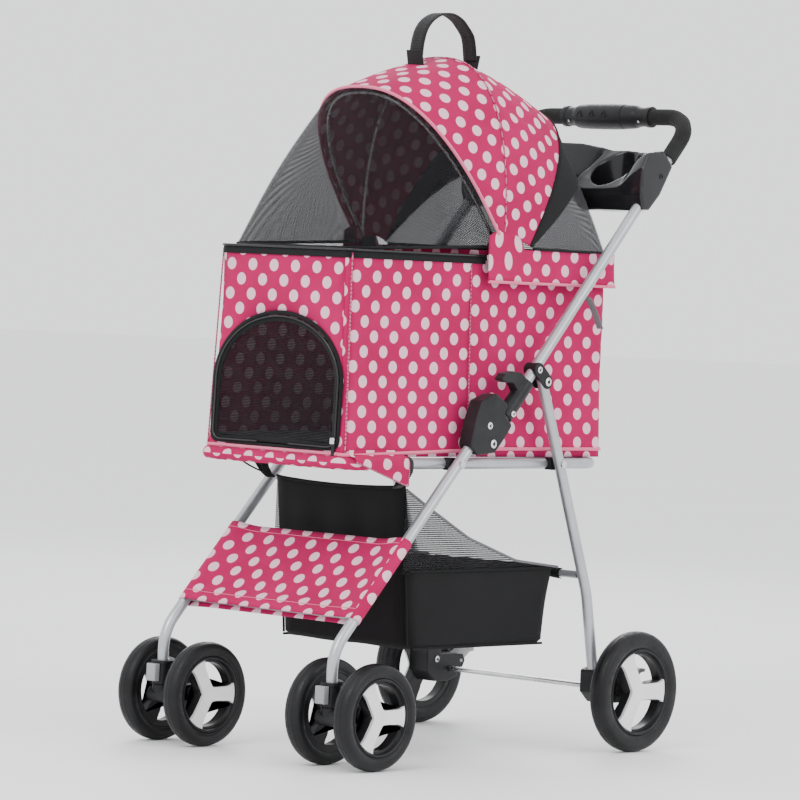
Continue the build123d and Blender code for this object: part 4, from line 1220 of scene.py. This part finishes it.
# ================= handle =================
upper_lean = radians(48.3)
pivot_reach, pivot_height = 300.5, 452.0
upper_run = Vector((0, cos(upper_lean), sin(upper_lean)))
upper_out = Vector((0, -sin(upper_lean), cos(upper_lean)))


def on_upper(x, along, out=0.0):
    """A point on the upper tube, at a distance along it from the fold's pivot."""
    return at(x, pivot_reach, pivot_height) + (upper_run * along + upper_out * out) * MM


handle_length, handle_bend, foam_from, grip_half = 656.0, 50.0, 568.0, 86.0
for side, sign in sides:
    path = [on_upper(sign * side_x, foam_from + (handle_length - handle_bend - foam_from) * i / 4)
            for i in range(5)]
    path += [on_upper(sign * (side_x - handle_bend + handle_bend * cos(pi / 2 * i / 10)),
                      handle_length - handle_bend + handle_bend * sin(pi / 2 * i / 10)) for i in range(1, 11)]
    path += [on_upper(sign * (side_x - handle_bend + (grip_half - side_x + handle_bend) * i / 4),
                      handle_length) for i in range(1, 5)]
    tube(f"foam_grip_{side}", path, 12.5, foam, "upper_frame", replaces=("foam_grips",) if sign > 0 else ())
grip = [(-86, 8.2), (-86, 15.4), (-85.2, 16), (-79, 16), (-78, 15.2), (-77.4, 14.4), (-64, 15.0), (-61, 15.4),
        (-58, 17.4), (-52, 18.6), (-30, 19.4), (0, 19.7), (24, 19.4), (33, 18.9), (34, 18.0), (35, 18.0),
        (36, 18.7), (52, 17.8), (58, 16.6), (61, 15.4), (64, 15.0), (77.4, 14.4), (78, 15.2), (79, 16),
        (85.2, 16), (86, 15.4), (86, 8.2), (-86, 8.2)]
bar_middle = on_upper(0, handle_length)
turned("handle_grip_moulding", grip, bar_middle, across, black_plastic, "upper_frame", 64, ("handle_grip",))
for number, x in enumerate((-44, -20, 4)):
    turned(f"grip_mark_{number}",
           [(18.0, 0.01), (18.0, 7.4), (20.2, 6.6), (20.6, 4.4), (19.9, 3.8), (19.8, 0.01)],
           bar_middle + Vector((x * MM, 0, 0)), (0, -1, 0.12), black_plastic, "upper_frame", 3, (), 20)
for number, x in enumerate((-70, 68)):
    turned(f"grip_screw_{number}", [(13.6, 0), (13.6, 3.2), (15.4, 3.0), (15.9, 2.0), (15.9, 0)],
           bar_middle + Vector((x * MM, 0, 0)), (0, -0.8, -0.5), bright, "upper_frame", 24)

# ================= tie on the left upper tube =================
tie_along = 297.0
turned("tie_collar", [(-4, 8.1), (-4, 9.2), (-3.2, 9.8), (3.2, 9.8), (4, 9.2), (4, 8.1), (-4, 8.1)],
       on_upper(side_x, tie_along), upper_run, grey_plastic, "upper_frame", 48)
tie_path = [on_upper(side_x + 1, tie_along, -9.6) + Vector((0, 34 * t, -46 * t ** 1.3)) * MM
            for t in [i / 16 for i in range(17)]]
tie = band("tie_strap", tie_path, (1, 0.1, 0), 11, 1.0, grey_binding, "upper_frame")
declare(tie)

# ================= rivets =================
def rivet(name, centre, axis, radius, body):
    turned(name, [(0, 0), (0, radius), (0.8, radius), (1.7, radius * 0.86), (2.2, radius * 0.62),
                  (1.2, radius * 0.5), (1.0, 0)], centre, axis, bright, body, 32)
    # A black disc set in the rivet's hollow centre: painted shade, standing for the shadow inside the hollow.
    turned(f"{name}_painted_shade_disc",
           [(0.9, 0), (0.9, radius * 0.5), (1.35, radius * 0.42), (1.5, radius * 0.2), (1.5, 0)], centre,
           axis, black_plastic, body, 24)


for side, sign in sides:
    for way in (1, -1):
        tag = "out" if way == sign else "in"
        rivet(f"shell_rivet_{side}_{tag}", at(sign * side_x + way * 12.3, 292, 478), (way, 0, 0), 5.2,
              "lower_frame")
        rivet(f"fold_rivet_{side}_{tag}", at(sign * side_x + way * 12.9, pivot_reach, pivot_height),
              (way, 0, 0), 6.3, "lower_frame")
        rivet(f"tube_rivet_{side}_{tag}", on_upper(sign * side_x + way * 11.6, 143.4), (way, 0, 0), 5.0,
              "upper_frame")
        rivet(f"leg_rivet_{side}_{tag}", at(sign * side_x + way * 12.1, 415, 542), (way, 0, 0), 6.3,
              "upper_frame")
        rivet(f"lock_rivet_{side}_{tag}", at(sign * side_x + way * 12.4, 341, 495), (way, 0, 0), 4.6,
              f"lock_{side}")
        rivet(f"housing_rivet_{side}_{tag}", at(sign * side_x + way * (23 if way == sign else 15), 570, 104),
              (way, 0, 0), 5.0, "rear_legs")
    turned(f"tray_screw_{side}", [(0, 0), (0, 4.6), (1.4, 4.6), (2.4, 3.6), (2.6, 2.0), (1.6, 1.9), (1.6, 0)],
           at(sign * 178, 650, 850), (sign, 0, 0), black_plastic, "upper_frame", 32)

# ================= lights and floor =================
floor_material, floor_tree, floor_shader = start_material("pale_floor", Roughness=0.55)
floor_place = add_node(floor_tree, "ShaderNodeTexCoord").outputs["Object"]
floor_tone = noise(floor_tree, floor_place, 1.5, 3.0)
wire(floor_tree, blend_colours(floor_tree, floor_tone, (0.90, 0.90, 0.90), (0.93, 0.93, 0.93)),
     floor_shader.inputs["Base Color"])
floor_shape = bmesh.new()
bmesh.ops.create_grid(floor_shape, x_segments=8, y_segments=8, size=30)
floor_mesh = bpy.data.meshes.new("floor")
floor_shape.to_mesh(floor_mesh)
floor_shape.free()
floor_mesh.materials.append(floor_material)
floor = bpy.data.objects.new("floor", floor_mesh)
bpy.context.collection.objects.link(floor)

world = bpy.data.worlds.new("studio")
world.use_nodes = True
world.node_tree.nodes["Background"].inputs["Color"].default_value = (0.97, 0.98, 1.0, 1)
world.node_tree.nodes["Background"].inputs["Strength"].default_value = 1.65
bpy.context.scene.world = world


def soft_light(name, place, target, size, power):
    data = bpy.data.lights.new(name, "AREA")
    data.shape = "DISK"
    data.size = size
    data.energy = power
    lamp = bpy.data.objects.new(name, data)
    lamp.location = place
    lamp.rotation_euler = (Vector(target) - Vector(place)).to_track_quat("-Z", "Y").to_euler()
    bpy.context.collection.objects.link(lamp)


soft_light("key_light", (0.6, -3.0, 3.2), (0, 0, 0.5), 2.2, 80)
soft_light("side_light", (3.4, 0.6, 2.0), (0, 0, 0.5), 2.0, 35)
soft_light("back_light", (-2.4, 2.6, 2.6), (0, 0, 0.6), 1.8, 40)
